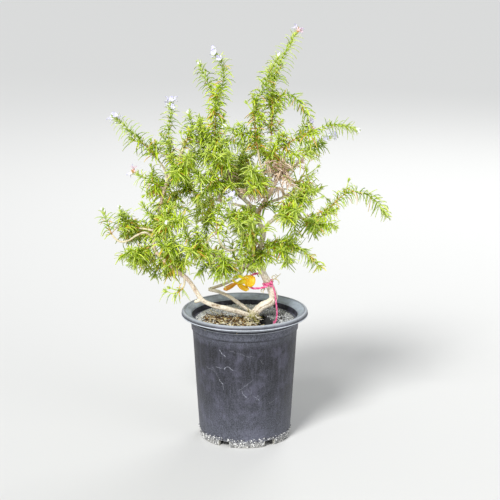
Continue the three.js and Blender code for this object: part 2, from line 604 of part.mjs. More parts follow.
// Where a needle ends, or null where it would meet something
function needleTip(shoot, i, k, seed) {
  const key = seed * 7.3 + i * 5 + k;
  const share = shoot.shares[i];
  const angle = faceAngle(shoot, i, k) + 0.5 * (chance(key, 1) - 0.5);
  const lean = THREE.MathUtils.degToRad(
    THREE.MathUtils.lerp(NEEDLE.angle, NEEDLE.tipAngle, share ** 3) + 16 * (chance(key, 2) - 0.5),
  );
  const length = NEEDLE.length * (1 - 0.3 * share ** 4) * (0.8 + 0.4 * chance(key, 3));
  const foot = shoot.rings[i].centre.clone().lerp(shoot.rings[i + 1].centre, 0.5);
  const direction = radial(shoot.rings[i], angle).multiplyScalar(Math.sin(lean))
    .addScaledVector(shoot.rings[i].tangent, Math.cos(lean)).normalize();
  const tip = foot.clone().addScaledVector(direction, length);
  const outer = foot.clone().lerp(tip, 0.25);
  if (!isClear(shoot.owner, outer, tip, NEEDLE.radius, shoot.id)) return null;
  keep(shoot.owner, outer, tip, NEEDLE.radius, `${shoot.id} ${i} ${k}`);
  return tip;
}

// Adds a shoot's faces, needles and children to the lists of a mesh
function grow(points, indices, shoot, baseCorners, seed) {
  const rows = shoot.corners.map((row, i) => {
    if (i === 0 && baseCorners) return baseCorners;
    return row.map((corner) => points.push(corner) - 1);
  });
  if (!baseCorners) indices.push(rows[0][0], rows[0][2], rows[0][1], rows[0][0], rows[0][3], rows[0][2]);
  for (let i = 0; i < rows.length - 1; i += 1) {
    for (let k = 0; k < SIDES; k += 1) {
      const next = (k + 1) % SIDES;
      const face = [rows[i][k], rows[i][next], rows[i + 1][next], rows[i + 1][k]];
      const child = shoot.children.get(`${i} ${k}`);
      const tip = !child && i % 2 === 1 ? needleTip(shoot, i, k, seed) : null;
      if (child) {
        grow(points, indices, child, face, seed + i);
      } else if (tip) {
        points.push(tip);
        face.forEach((corner, j) => indices.push(corner, face[(j + 1) % SIDES], points.length - 1));
      } else {
        indices.push(face[0], face[1], face[2], face[0], face[2], face[3]);
      }
    }
  }
  points.push(shoot.rings.at(-1).centre);
  rows.at(-1).forEach((corner, k, row) => indices.push(corner, row[(k + 1) % SIDES], points.length - 1));
}

function stemGeometry(plan) {
  const points = [];
  const indices = [];
  grow(points, indices, plan.main, null, plan.seed * 17);
  const geometry = new THREE.BufferGeometry().setFromPoints(points);
  geometry.setIndex(indices);
  return geometry;
}

// Blooms

// A petal is a thin folded kite: the fold from its base to its tip stands above its two sides
function petal(base, direction, across) {
  const face = direction.clone().cross(across).normalize();
  const middle = base.clone().addScaledVector(direction, BLOSSOM.petal * 0.6);
  const points = [
    base,
    middle.clone().addScaledVector(across, -BLOSSOM.petalWidth / 2).addScaledVector(face, -BLOSSOM.thickness),
    base.clone().addScaledVector(direction, BLOSSOM.petal),
    middle.clone().addScaledVector(across, BLOSSOM.petalWidth / 2).addScaledVector(face, -BLOSSOM.thickness),
  ];
  const geometry = new THREE.BufferGeometry().setFromPoints(points);
  geometry.setIndex([0, 1, 2, 0, 2, 3, 0, 3, 1, 2, 1, 3]);
  return solid(geometry);
}

// Blossoms open round the end of a stem, each with an upper lip and two lower lobes
function bloomSolid(ring, blossoms, seed) {
  const foot = ring.centre.clone().addScaledVector(ring.tangent, JOINT_GAP);
  const parts = [];
  const core = new THREE.LineCurve3(foot, foot.clone().addScaledVector(ring.tangent, 5));
  parts.push(tube(ringsAlong(core, 0, 1, 1), lerp(0.5, 1.5), 4));
  for (let k = 0; k < blossoms; k += 1) {
    const angle = (k * 2 * Math.PI) / blossoms + seed;
    const outward = radial(ring, angle);
    const direction = outward.clone().multiplyScalar(0.75).addScaledVector(ring.tangent, 0.66).normalize();
    const start = foot.clone().addScaledVector(ring.tangent, 2 + 2.4 * chance(seed, k));
    const mouth = start.clone().addScaledVector(direction, BLOSSOM.tube);
    const throat = new THREE.LineCurve3(start, mouth);
    parts.push(tube(ringsAlong(throat, 0, 1, 1), lerp(0.7, 1.2), 3));
    const sideways = ring.tangent.clone().cross(direction).normalize();
    const inward = mouth.clone().addScaledVector(direction, -0.8);
    [[0.9, 0], [-0.75, 0.8], [-0.75, -0.8]].forEach(([lift, spread]) => {
      const axis = direction.clone().multiplyScalar(0.9).addScaledVector(ring.tangent, lift)
        .addScaledVector(sideways, spread).normalize();
      const across = axis.clone().cross(direction).normalize();
      parts.push(petal(inward, axis, across));
    });
  }
  return joined(parts);
}

function bloomEnds(plans) {
  const ends = [];
  plans.forEach((plan) => {
    if (BLOOMS[plan.name]) ends.push([plan.name.replace('stem', 'bloom'), plan.main, BLOOMS[plan.name]]);
    if (plan.name === FORK_BLOOM.stem) ends.push(['bloom_arching', plan.shoots[1], FORK_BLOOM.blossoms]);
  });
  return ends.map(([name, { curve }, blossoms]) => (
    { name, blossoms, ring: ringsAlong(curve, 0.99, 1, 1)[1] }));
}

function keepBloom({ name, ring }) {
  const foot = ring.centre.clone().addScaledVector(ring.tangent, 3.4);
  const top = ring.centre.clone().addScaledVector(ring.tangent, 9);
  keep(name, foot, top, BLOSSOM.reach);
}

// Pink tie and yellow ribbon

function cordSolid(points, radius) {
  const curve = curveThrough(points);
  const shape = new THREE.Shape().absarc(0, 0, radius, 0, 2 * Math.PI);
  const steps = Math.round(curve.getLength() / (radius * 5));
  const geometry = new THREE.ExtrudeGeometry(shape, {
    steps, extrudePath: curve, curveSegments: TIE.sides / 2,
  });
  return solid(geometry);
}

// Two turns of cord round the trunk, with a knot at the front
function tieWrapSolid() {
  const centre = seen([WRAP.x, WRAP.z, WRAP.depth]);
  const spot = nearestShare(limbCurves.trunk, centre);
  const [ring] = ringsAlong(limbCurves.trunk, spot, spot + 0.005, 1);
  const turn = new THREE.Matrix4().makeBasis(ring.across, ring.tangent, ring.across2.clone().negate())
    .setPosition(ring.centre);
  const inside = WRAP.innerRadius;
  const ringProfile = (lift) => [
    [inside, lift - 0.8], [inside + WRAP.cord, lift - 0.9], [inside + WRAP.cord, lift + 0.9],
    [inside, lift + 0.8], [inside, lift - 0.8],
  ].map(([r, z]) => new THREE.Vector2(r, z));
  const turns = [-WRAP.pitch / 2, WRAP.pitch / 2].map((lift) => (
    solid(new THREE.LatheGeometry(ringProfile(lift), 9).applyMatrix4(turn))));
  const knotAt = ring.centre.clone().add(new THREE.Vector3(3.6, -inside - 1, -0.8));
  const knot = solid(new THREE.IcosahedronGeometry(WRAP.knot, 0).translate(...knotAt.toArray()));
  return { made: joined([...turns, knot]), knotAt, centre: ring.centre };
}

function nearestShare(curve, point, samples = 400) {
  const near = curve.getSpacedPoints(samples);
  let best = 0;
  near.forEach((p, i) => {
    if (p.distanceTo(point) < near[best].distanceTo(point)) best = i;
  });
  return best / samples;
}

// The free end of the tie drops from the knot past the trunk and lies on the soil
function tailRoute({ x, y, z }) {
  const hanging = [[2.4, -0.9, -1.9], [4.4, -0.7, -6.5], [6.2, 0.6, -16], [7, 1, -26], [7.4, 1, -36],
    [7.2, 0.4, -43]].map(([dx, dy, dz]) => new THREE.Vector3(x + dx, y + dy, z + dz));
  const lying = [[6.2, -1, 1.4], [3.8, -2.6, 0], [0.8, -2.4, 0]].map(([dx, dy, lift]) => new THREE.Vector3(
    x + dx, y + dy, soilHeight(x + dx, y + dy) + TIE.tailRadius + 0.25 + lift));
  return [...hanging, ...lying];
}

// The slack loop leaves the knot to the left, holds the ribbon and comes back behind the trunk
function loopRoute({ x, y, z }) {
  return [[-3.7, -2.8, -0.9], [-8.5, -3.7, -2.6], [-17, -2.8, -4.4], [-25, -0.6, -4.2], [-30, 3.5, 0],
    [-29, 7, 6], [-23, 10.5, 10.6], [-15, 14.4, 11], [-8.5, 17, 7.8], [-4.4, 17.2, 3]]
    .map(([dx, dy, dz]) => new THREE.Vector3(x + dx, y + dy, z + dz));
}

// A folded ribbon: a round loop seen flat, a small loop and two cut tails, fused at the knot
function ribbonSolid() {
  const blade = (outline, turnZ, tilt, offset) => {
    const shape = new THREE.Shape(outline.map(([x, y]) => new THREE.Vector2(x, y)));
    const geometry = new THREE.ExtrudeGeometry(shape, { depth: RIBBON.thickness, bevelEnabled: false });
    return solid(geometry.rotateX(Math.PI / 2).rotateY(turnZ).rotateZ(tilt).translate(...offset));
  };
  const knot = seen([-10, 206.5, RIBBON.depth]);
  const disc = new THREE.Shape().absellipse(0, 0, 8, 7.4, 0, 2 * Math.PI);
  const discSolid = solid(new THREE.ExtrudeGeometry(disc, {
    depth: RIBBON.thickness, bevelEnabled: false, curveSegments: 7,
  })
    .rotateX(Math.PI / 2)
    .translate(...seen([RIBBON.x, RIBBON.z, RIBBON.depth - 0.5]).toArray()));
  const tail = [[0, -1.6], [-8, -3.6], [-20, -1.2], [-14, 2.8], [-6, 3.2], [0, 1.6]];
  const stub = [[0, -1.6], [6, -3], [12, -3.2], [13.5, 1], [7, 3.2], [0, 1.6]];
  const bow = [[-1, -2.2], [4, -3.4], [11, -2.4], [11, 3], [4, 4.2], [-1, 2.2]];
  const at = knot.toArray();
  return joined([
    discSolid,
    blade(tail, -0.5, 0.14, at),
    blade(stub, 0.62, -0.12, at),
    blade(bow, -0.12, 0, at),
    solid(new THREE.IcosahedronGeometry(2.7, 0).translate(...at)),
  ]);
}

// Assembly

function build() {
  addMesh('pot', potSolid(), COLOUR.pot, 0.6);
  addMesh('soil', soilSolid(), COLOUR.soil, 0.95);
  const reach = new THREE.Vector3(SOIL.radius, 0, 0);
  const under = new THREE.Vector3(0, 0, SOIL.level - SOIL.radius / 2);
  keep('soil', under.clone().sub(reach), under.clone().add(reach), SOIL.radius / 2);

  addRoot();
  addLimbs();
  const plans = STEMS.map(stemPlan);
  plans.forEach(addForks);
  addMesh('wood', joined(woodSolids), COLOUR.bark, 0.85);

  const wrap = tieWrapSolid();
  addMesh('tie_wrap', wrap.made, COLOUR.tie, 0.6);
  keep('tie_wrap', wrap.centre, wrap.knotAt, 8);
  addMesh('tie_tail', cordSolid(tailRoute(wrap.knotAt), TIE.tailRadius), COLOUR.tie, 0.6);
  addMesh('tie_loop', cordSolid(loopRoute(wrap.knotAt), TIE.loopRadius), COLOUR.tie, 0.6);
  addMesh('ribbon', ribbonSolid(), COLOUR.ribbon, 0.5);

  const blooms = bloomEnds(plans);
  blooms.forEach(keepBloom);
  plans.forEach(addSideShoots);
  plans.forEach((plan) => {
    const color = plan.name.startsWith('dead') ? COLOUR.dead : COLOUR.needle;
    addGeometry(plan.name, stemGeometry(plan), color, 0.6);
  });
  blooms.forEach(({ name, ring, blossoms }, k) => {
    addMesh(name, bloomSolid(ring, blossoms, k + 0.7), COLOUR.petal, 0.7);
  });
}

build();

// The origin is the middle of the part's box, on the plane that the pot stands on
const box = new THREE.Box3().setFromObject(group);
const middle = box.getCenter(new THREE.Vector3());
group.position.set(-middle.x, -middle.y, 0);

export default group;
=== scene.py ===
import itertools
import math

import bpy
import numpy as np
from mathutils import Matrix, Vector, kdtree


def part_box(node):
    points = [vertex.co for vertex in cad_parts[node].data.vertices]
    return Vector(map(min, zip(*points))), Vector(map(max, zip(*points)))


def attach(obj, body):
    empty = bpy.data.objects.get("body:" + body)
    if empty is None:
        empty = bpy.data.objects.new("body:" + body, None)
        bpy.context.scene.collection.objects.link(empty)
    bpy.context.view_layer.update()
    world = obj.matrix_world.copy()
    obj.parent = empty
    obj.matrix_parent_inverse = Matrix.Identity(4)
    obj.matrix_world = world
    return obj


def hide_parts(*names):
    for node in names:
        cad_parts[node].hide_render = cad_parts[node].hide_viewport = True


# The looks of a rosemary bonsai in its nursery pot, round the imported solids.
#
# Lengths are in millimetres and points are measured from the middle of the pot's foot, as in the
# part's source. row() turns them into metres of the shared frame. Leafy stems, limbs and the tie
# follow the same points as their solids, so each finer piece lies where its node is.

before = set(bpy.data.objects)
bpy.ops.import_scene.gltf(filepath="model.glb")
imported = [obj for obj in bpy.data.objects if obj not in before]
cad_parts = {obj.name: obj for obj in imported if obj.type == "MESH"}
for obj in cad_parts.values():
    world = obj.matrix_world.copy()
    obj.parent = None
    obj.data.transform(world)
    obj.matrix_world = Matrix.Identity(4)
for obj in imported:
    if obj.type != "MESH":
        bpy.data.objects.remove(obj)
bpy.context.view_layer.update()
pot_low, pot_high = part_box("pot")
POT_FOOT = np.array([(pot_low.x + pot_high.x) / 2, (pot_low.y + pot_high.y) / 2, 0.0])
UP = np.array([0.0, 0.0, 1.0])

# Where the photograph was taken from, and what the camera is. READ_FROM is the rounded place that
# the part's source slides its points towards, so the same is used here.
EYE = np.array([6.9, -1886.7, 715.2])
READ_FROM = (7.0, -1887.0, 715.0)
LENS = 108.0
PITCH = 13.83

SOIL = {"level": 154.0, "mound": 3.5, "hollow": 8.0, "bank": 4.6, "clod": 3.0, "radius": 66.8}
ROOT = {"x": 10.0, "y": 0.0, "bottom": 128.0, "top": 163.0, "clear": 8.5}
WRAP = {"x": 30.2, "z": 207.0, "depth": 3.0, "inner": 5.45, "pitch": 1.5}
TIE = {"loop_radius": 1.5, "tail_radius": 1.15, "strands": 3}
RIBBON = {"x": 6.0, "z": 209.3, "depth": -4.0, "thickness": 0.22}

# How many loose bits there are of each kind
COUNTS = {"crust": 1500, "chips": 900, "shed_needles": 170, "grit": 2900, "bark_strips": 130}

# The skin of the wood: the size of its cells in metres, how far apart its ridges and flakes are
# across and along a limb, and its fine grain
SKIN = {"cell": 0.00068, "ridge": (1.9, 13), "flake": (3.1, 4.5), "grain": 0.9}

# Heights on the pot: its plain wall, from and to, and its collar, from and to
PLAIN_WALL = (20, 146)
COLLAR = (147, 158)

# The layout of the solids' shoots, which the side shoots are found from: how long the base of a
# needle is, how far apart the bases are, where the first and the last stand, the turn from one to
# the next, and the radii of a stem, of a fork and of their tips
LAYOUT = {
    "base": 1.5, "spacing": 11.0, "first": 2.5, "first_on_side": 4.2, "last": 2.5, "turn": 0.72,
    "radius": 1.5, "fork_radius": 1.3, "tip": 0.9,
}
SIDE_SHOOT = {"length": 28.0, "angle": 48.0, "nearest": 1.5}

# How far a leafy stem stands off its bare foot, and its flowers off the stem
JOINT_GAP = 0.3

# The angle from one leaf or shoot to the next round a stem
LEAF_TURN = 2.4

# Needles: the long ones stand in pairs, with short ones in the joint of each. An outline gives
# pairs of how far along the needle, and its share of the full width there.
NEEDLE = {"length": 20.0, "width": 1.65, "step": 2.55, "lean": 70.0, "tip_lean": 52.0}
SHORT = {"length": 9.0, "width": 1.2, "each": 2}
NEEDLE_OUTLINE = [(0, 0.6), (0.14, 0.9), (0.4, 1.0), (0.7, 0.96), (0.95, 0.74), (1, 0)]
SHORT_OUTLINE = [(0, 0.6), (0.4, 1.0), (0.88, 0.7), (1, 0)]

# Young shoots that the solids leave out, along each stem: how far apart, the share of the stem
# that has them, how long they are, and how long their needles are beside the others
SPROUT = {"step": 11.0, "reach": 0.62, "length": 24.0, "needles": 0.78}

# Stems that stand clear of the rest: the share of each that has young shoots
CLEAR = {
    "stem_upper_left": 0.16, "stem_left_spire": 0.16, "stem_left_leader": 0.3,
    "stem_centre_spire": 0.34, "stem_tall": 0.34, "stem_tall_left": 0.5, "stem_upper_right": 0.36,
    "stem_right_flowering": 0.2, "stem_far_right": 0.2, "stem_far_left": 0.0,
    "stem_left_flowering": 0.2, "stem_right_twig": 0.2, "stem_small_low": 0.2,
}
CLEAR_SIDE_SHOOT = 0.55

# Limbs: name, parent, radius at the start and the end, points [x, z, depth]
LIMBS = [
    ("trunk", None, 5.2, 2.3, [
        (10, 155, 0), (11, 162, 0), (17, 170, 1), (24.5, 176, 1.5), (33, 180, 2.5),
        (37.5, 185.5, 3), (37.3, 191, 3), (34.8, 197.5, 3), (30.7, 206, 3), (25, 217, 3),
        (20, 227.5, 3.5), (17.5, 238, 4.5), (18, 248, 5), (22, 262, 6), (24, 275, 6),
        (19, 288, 6), (18, 300, 6), (24, 312, 7), (31, 322, 8), (37, 335, 9), (44, 347, 10),
        (51, 356, 11)]),
    ("left_limb", "trunk", 3.6, 1.5, [
        (10, 158, 0), (3, 163, -2), (-8, 167.5, -4), (-24, 172, -8), (-37, 175, -9),
        (-48, 179, -10), (-56.5, 184, -10), (-62, 192.5, -9), (-69.3, 205, -7), (-77, 214.5, -6),
        (-87, 221.5, -5), (-95, 229.5, -4), (-106, 239, -2), (-115, 249, 0), (-118, 260, 2),
        (-114, 274, 3), (-112, 290, 3), (-108, 310, 2), (-103, 331, 0), (-96, 350, 0),
        (-87, 367, 2), (-80, 379, 4)]),
    ("cut_stub", "left_limb", 2.3, 2.0, [(-57, 183.5, -10), (-65, 181, -11)]),
    ("bent_limb", "trunk", 2.7, 1.7, [
        (10, 159, 1), (9, 166, 2), (4, 170.5, 4), (-7.5, 179, 8), (-15.5, 185, 11),
        (-23.5, 190, 13), (-36, 195.3, 16), (-46.5, 197.8, 19), (-41, 199.8, 21.5),
        (-33, 202.5, 23), (-20.5, 207.8, 26), (-11, 213, 27), (-3, 226, 28)]),
    ("low_left_limb", "trunk", 2.4, 1.5, [
        (18, 240, 4), (8, 232, -1), (-6, 230, -8), (-22, 235, -14), (-38, 243, -18),
        (-52, 250, -22)]),
    ("centre_limb", "trunk", 2.6, 1.6, [
        (18, 300, 6), (8, 310, 4), (-5, 322, 2), (-18, 338, 0), (-30, 356, -2), (-37, 374, 0)]),
    ("right_limb", "trunk", 2.5, 1.6, [
        (24, 275, 6), (29, 284, 3), (37, 291, 0), (47, 297, -3), (60, 298, -2), (74, 293, 0),
        (87, 288, 2)]),
    ("rear_limb", "trunk", 2.4, 1.7, [(19, 288, 6), (14, 296, 25), (8, 306, 48), (0, 318, 70)]),
    ("rear_left_limb", "rear_limb", 1.8, 1.6, [
        (8, 306, 48), (-15, 312, 58), (-40, 318, 68), (-62, 322, 75)]),
    ("rear_right_limb", "trunk", 2.2, 1.6, [
        (24, 312, 7), (38, 316, 25), (52, 322, 42), (64, 330, 56)]),
    ("upper_limb", "trunk", 2.2, 1.6, [(37, 335, 9), (31, 350, 8), (31, 372, 8), (34, 396, 9)]),
]

# Leafy stems: name, limb, share that is bare wood, side shoots, points [x, z, depth], forks
STEMS = [
    ("stem_upper_left", "left_limb", 0.34, 2, [
        (-100, 341, 0), (-102, 356, -4), (-112, 371, -8), (-123, 384, -12), (-137, 399, -15),
        (-150, 411, -17), (-162, 421, -18)], []),
    ("stem_left_spire", "left_limb", 0.16, 2, [
        (-96, 350, 0), (-93, 366, 6), (-96, 388, 12), (-96, 408, 17), (-94, 425, 21),
        (-93, 440, 24)], []),
    ("stem_left_leader", "left_limb", 0.06, 2, [
        (-80, 379, 4), (-73, 396, 6), (-67, 411, 8), (-70, 427, 8)], []),
    ("stem_centre_spire", "centre_limb", 0.04, 3, [
        (-37, 374, 0), (-38, 398, 1), (-37, 422, 0), (-35, 444, -3), (-29, 460, -7),
        (-26, 476, -11), (-28, 491, -15), (-35, 503, -18)],
        [[(-36, 440, -2), (-41, 458, 4), (-49, 474, 10), (-56, 490, 15)]]),
    ("stem_centre_left", "centre_limb", 0.12, 2, [
        (-34, 366, -1), (-44, 376, 8), (-53, 390, 14), (-58, 404, 18), (-57, 418, 20)], []),
    ("stem_tall", "upper_limb", 0.04, 3, [
        (34, 396, 9), (35, 425, 14), (35, 450, 19), (38, 474, 23), (46, 495, 27), (55, 513, 30),
        (64, 529, 32)],
        [[(35, 438, 17), (44, 448, 12), (55, 453, 8), (65, 448, 5), (73, 437, 3), (80, 424, 2),
          (84, 415, 2)]]),
    ("stem_tall_left", "trunk", 0.36, 2, [
        (31, 322, 8), (25, 345, -4), (19, 370, -10), (15, 395, -12), (13, 420, -12),
        (15, 442, -10), (21, 458, -8), (28, 472, -6), (36, 487, -2), (42, 499, 0)],
        [[(14.5, 401, -12), (4, 401, -16), (-8, 406, -22), (-22, 411, -26)]]),
    ("stem_upper_right", "trunk", 0.3, 2, [
        (46, 349, 10), (46, 368, -5), (50, 384, -12), (62, 395, -14), (78, 403, -14),
        (94, 410, -12), (110, 415, -10), (126, 413, -8), (140, 409, -8)], []),
    ("stem_right_flowering", "trunk", 0.46, 2, [
        (51, 356, 11), (61, 361, 12), (70, 366, 12), (77, 376, 10), (86, 386, 8), (97, 392, 6),
        (107, 397, 5)], []),
    ("stem_right_twig", "trunk", 0.42, 2, [
        (44, 347, 10), (56, 342, 14), (68, 340, 18), (78, 345, 18), (88, 351, 18)], []),
    ("stem_right_tuft", "right_limb", 0.3, 2, [
        (58, 298, -2), (64, 310, -6), (72, 320, -10), (82, 327, -12), (93, 331, -14)], []),
    ("stem_far_right", "right_limb", 0.16, 2, [
        (87, 288, 2), (97, 294, 0), (107, 304, -4), (118, 316, -8), (130, 325, -12),
        (144, 328, -15), (158, 323, -17), (169, 315, -18), (177, 305, -19), (183, 296, -19)],
        []),
    ("stem_right_low", "right_limb", 0.1, 2, [
        (70, 294, 0), (82, 288, -10), (95, 286, -18), (108, 286, -24), (118, 281, -28)],
        [[(78, 290, -7), (84, 281, 6), (94, 276, 16)]]),
    ("stem_right_front", "right_limb", 0.14, 2, [
        (47, 297, -3), (54, 302, -22), (62, 305, -44), (68, 302, -64)], []),
    ("stem_low_right", "trunk", 0.12, 2, [
        (19, 250, 5), (28, 258, -6), (41, 263, -14), (55, 261, -19), (68, 255, -22),
        (79, 247, -24), (88, 238, -25)],
        [[(36, 262, -12), (45, 253, -24), (54, 244, -32), (60, 235, -36)]]),
    ("stem_front_curved", "trunk", 0.62, 0, [
        (18, 243, 5), (6, 250, -8), (-10, 251, -20), (-23, 251, -30), (-31, 259, -37),
        (-35, 273, -41), (-36, 288, -42), (-33, 302, -42), (-26, 313, -42), (-20, 318, -42)],
        []),
    ("stem_left_front", "left_limb", 0.12, 2, [
        (-113, 280, 3), (-108, 283, -18), (-103, 286, -40), (-101, 287, -58)],
        [[(-108.5, 283, -15), (-97, 288, -32), (-86, 292, -50), (-78, 293, -66)]]),
    ("stem_low_front", "low_left_limb", 0.06, 2, [
        (-52, 250, -22), (-60, 251, -38), (-67, 251, -56), (-72, 249, -74)], []),
    ("stem_centre_front_left", "centre_limb", 0.12, 2, [
        (-18, 338, 0), (-30, 338, -22), (-45, 342, -44), (-60, 346, -64)], []),
    ("stem_centre_front_high", "centre_limb", 0.12, 2, [
        (-30, 356, -2), (-28, 362, -22), (-24, 370, -44), (-20, 379, -62)], []),
    ("stem_front_high", "trunk", 0.2, 2, [
        (31, 322, 8), (24, 336, -12), (14, 348, -34), (8, 360, -56)], []),
    ("stem_front_mid", "trunk", 0.16, 2, [
        (18, 300, 6), (8, 298, -16), (-3, 293, -40), (-10, 285, -62)], []),
    ("stem_front_low", "trunk", 0.16, 2, [
        (20, 256, 5), (12, 264, -20), (8, 276, -44), (10, 290, -64)], []),
    ("stem_hanging", "low_left_limb", 0.12, 2, [
        (-22, 235, -14), (-26, 230, -30), (-30, 221, -42), (-36, 212, -48)],
        [[(-24, 233, -22), (-14, 226, -32), (-10, 215, -36)]]),
    ("stem_left_flowering", "left_limb", 0.16, 1, [
        (-103, 331, 0), (-114, 338, -6), (-126, 345, -10), (-137, 351, -12)],
        [[(-112, 337, -5), (-120, 329, -12), (-130, 322, -16)]]),
    ("stem_left_high_front", "left_limb", 0.1, 2, [
        (-95, 352, 0), (-86, 354, -18), (-77, 362, -38), (-72, 374, -56)], []),
    ("stem_middle_high", "centre_limb", 0.14, 2, [
        (-5, 322, 2), (-10, 338, 14), (-8, 358, 22), (-2, 380, 26), (0, 397, 28)], []),
    ("stem_far_left", "left_limb", 0.68, 0, [
        (-117, 266, 2), (-128, 274, -2), (-140, 270, -5), (-151, 263, -8), (-161, 262, -10),
        (-170, 269, -12), (-176, 283, -13), (-181, 300, -14)], []),
    ("stem_left_tuft", "left_limb", 0.4, 2, [
        (-114, 276, 3), (-130, 279, 10), (-145, 282, 12), (-155, 291, 12), (-159, 303, 12)], []),
    ("stem_left_low_front", "left_limb", 0.12, 2, [
        (-118, 257, 2), (-129, 252, -8), (-140, 244, -14), (-149, 235, -18)], []),
    ("stem_left_hanging", "left_limb", 0.1, 2, [
        (-114, 246, 0), (-122, 243, 10), (-128, 235, 16), (-127, 223, 20)], []),
    ("stem_left_inner", "left_limb", 0.12, 2, [
        (-106, 235, -2), (-99, 244, -18), (-93, 255, -34), (-90, 268, -46)], []),
    ("stem_small_low", "left_limb", 0.36, 1, [
        (-80, 213, -6), (-79, 203, -10), (-84, 196, -12), (-94, 192, -13), (-104, 197, -13)], []),
    ("stem_rear_top", "rear_limb", 0.04, 3, [
        (0, 318, 70), (-3, 336, 82), (-4, 358, 88), (0, 382, 88)],
        [[(-1.5, 327, 77), (14, 340, 88), (28, 356, 95), (38, 374, 98)]]),
    ("stem_rear_middle", "trunk", 0.3, 2, [
        (44, 347, 10), (41, 360, 26), (32, 373, 44), (20, 385, 56), (11, 398, 62)], []),
    ("stem_rear_low", "rear_limb", 0.14, 2, [
        (6, 308, 52), (0, 298, 74), (-4, 284, 94), (-6, 268, 106)], []),
    ("stem_rear_left", "rear_left_limb", 0.04, 2, [
        (-62, 322, 75), (-72, 338, 82), (-78, 358, 85), (-80, 380, 84)],
        [[(-66, 329, 78.5), (-84, 326, 86), (-100, 316, 92), (-112, 303, 94)]]),
    ("stem_rear_left_low", "rear_left_limb", 0.12, 2, [
        (-40, 318, 68), (-44, 302, 84), (-48, 284, 96), (-50, 266, 102)], []),
    ("stem_rear_right", "rear_right_limb", 0.04, 2, [
        (64, 330, 56), (72, 344, 64), (80, 362, 68), (88, 380, 68)],
        [[(67, 335.5, 59.5), (82, 332, 70), (96, 326, 78), (108, 317, 80)]]),
    ("stem_left_rear", "left_limb", 0.12, 2, [
        (-106, 318, 2), (-110, 328, 24), (-116, 344, 42), (-120, 362, 50)], []),
    ("stem_left_rear_low", "left_limb", 0.12, 2, [
        (-115, 270, 3), (-124, 276, 24), (-136, 280, 44), (-146, 288, 56)], []),
    ("stem_low_rear", "left_limb", 0.12, 2, [
        (-104, 233, -3), (-98, 234, 20), (-92, 234, 42), (-88, 228, 60)], []),
    ("stem_bent_rear", "bent_limb", 0.04, 2, [
        (-3, 228, 28), (4, 238, 44), (10, 252, 58), (12, 268, 70)], []),
    ("dead_twig_right", "trunk", 0.2, 2, [(45, 348, 10), (48, 357, -6), (50, 367, -20)],
        [[(47, 353, -1), (54, 346, -14), (60, 337, -26)]]),
    ("dead_twig_centre", "trunk", 0.2, 2, [(27, 317, 7), (22, 326, -8), (20, 338, -22)], []),
]

# Further shoots that the solids leave out, by the stem whose piece they belong to. Each grows
# from the nearest limb or stem.
FURTHER = [
    ("stem_centre_spire", [(-38, 398, 1), (-26, 396, -8), (-14, 392, -12), (-3, 388, -14)]),
    ("stem_tall", [(31, 372, 8), (36, 380, -6), (42, 391, -16), (44, 402, -22)]),
    ("stem_left_tuft", [(-112, 290, 3), (-119, 296, -8), (-126, 303, -14), (-132, 313, -16)]),
    ("stem_rear_left", [(-40, 318, 68), (-50, 310, 60), (-58, 302, 48), (-64, 294, 36)]),
    ("stem_front_mid", [(19, 306, 6), (33, 310, -6), (49, 303, -14), (58, 291, -18)]),
    ("stem_right_low", [(60, 298, -2), (63, 290, -14), (65, 279, -22), (66, 266, -26)]),
    ("stem_low_front", [(-38, 243, -18), (-34, 252, -10), (-29, 262, -4), (-24, 274, 0)]),
    ("stem_hanging", [(-38, 243, -18), (-46, 254, -18), (-54, 262, -18), (-60, 270, -16)]),
    ("stem_front_low", [(18, 248, 5), (24, 247, -10), (30, 243, -20), (34, 235, -26)]),
    ("stem_low_right", [(83, 243, -24), (89, 238, -27), (94, 232, -29), (98, 226, -30)]),
    ("stem_left_inner", [(-95, 229.5, -4), (-88, 234, -16), (-80, 236, -26), (-71, 231, -32)]),
    ("stem_low_right", [(55, 261, -19), (57, 251, -12), (55, 241, -8), (52, 230, -6)]),
    ("stem_left_hanging", [(-108, 240, -1), (-110, 232, 9), (-114, 224, 13), (-117, 215, 13)]),
    ("stem_left_low_front", [(-140, 244, -14), (-147, 247, -8), (-155, 246, -4), (-161, 240, 0)]),
    ("stem_low_front", [(-6, 230, -8), (-10, 236, 2), (-14, 246, 8), (-16, 258, 10)]),
    ("stem_centre_front_left", [(-30, 338, -22), (-42, 331, -18), (-54, 326, -14), (-65, 318, -10)]),
    ("stem_centre_front_left", [(-38, 341, -34), (-48, 334, -40), (-56, 324, -42), (-60, 314, -42)]),
    ("stem_left_front", [(-108, 310, 2), (-96, 312, -10), (-84, 308, -16), (-72, 302, -18)]),
    ("stem_left_front", [(-110, 298, 3), (-98, 292, 8), (-86, 286, 10), (-76, 281, 8)]),
    ("stem_low_front", [(-38, 243, -18), (-46, 234, -24), (-54, 226, -26), (-60, 218, -26)]),
    ("stem_front_mid", [(-3, 293, -40), (-12, 300, -38), (-22, 303, -34)]),
    ("stem_middle_high", [(-10, 338, 14), (-22, 332, 8), (-36, 324, 4), (-48, 314, 2)]),
    ("dead_twig_centre", [(-18, 338, 0), (-22, 346, -12), (-22, 355, -20)]),
    ("dead_twig_centre", [(-12, 330, 1), (-22, 326, -12), (-31, 320, -20)]),
    ("dead_twig_right", [(44, 347, 10), (36, 353, 18), (30, 362, 26)]),
    ("dead_twig_right", [(37, 335, 9), (46, 330, 18), (54, 322, 24)]),
    ("stem_upper_right", [(50, 384, -12), (62, 378, -20), (74, 376, -26), (84, 380, -30)]),
    ("stem_front_low", [(19, 247, 5), (15, 245, -8), (7, 240, -18), (-4, 236, -26)]),
    ("stem_low_right", [(20, 243, 4), (22, 240, -8), (19, 234, -17), (14, 228, -24)]),
]

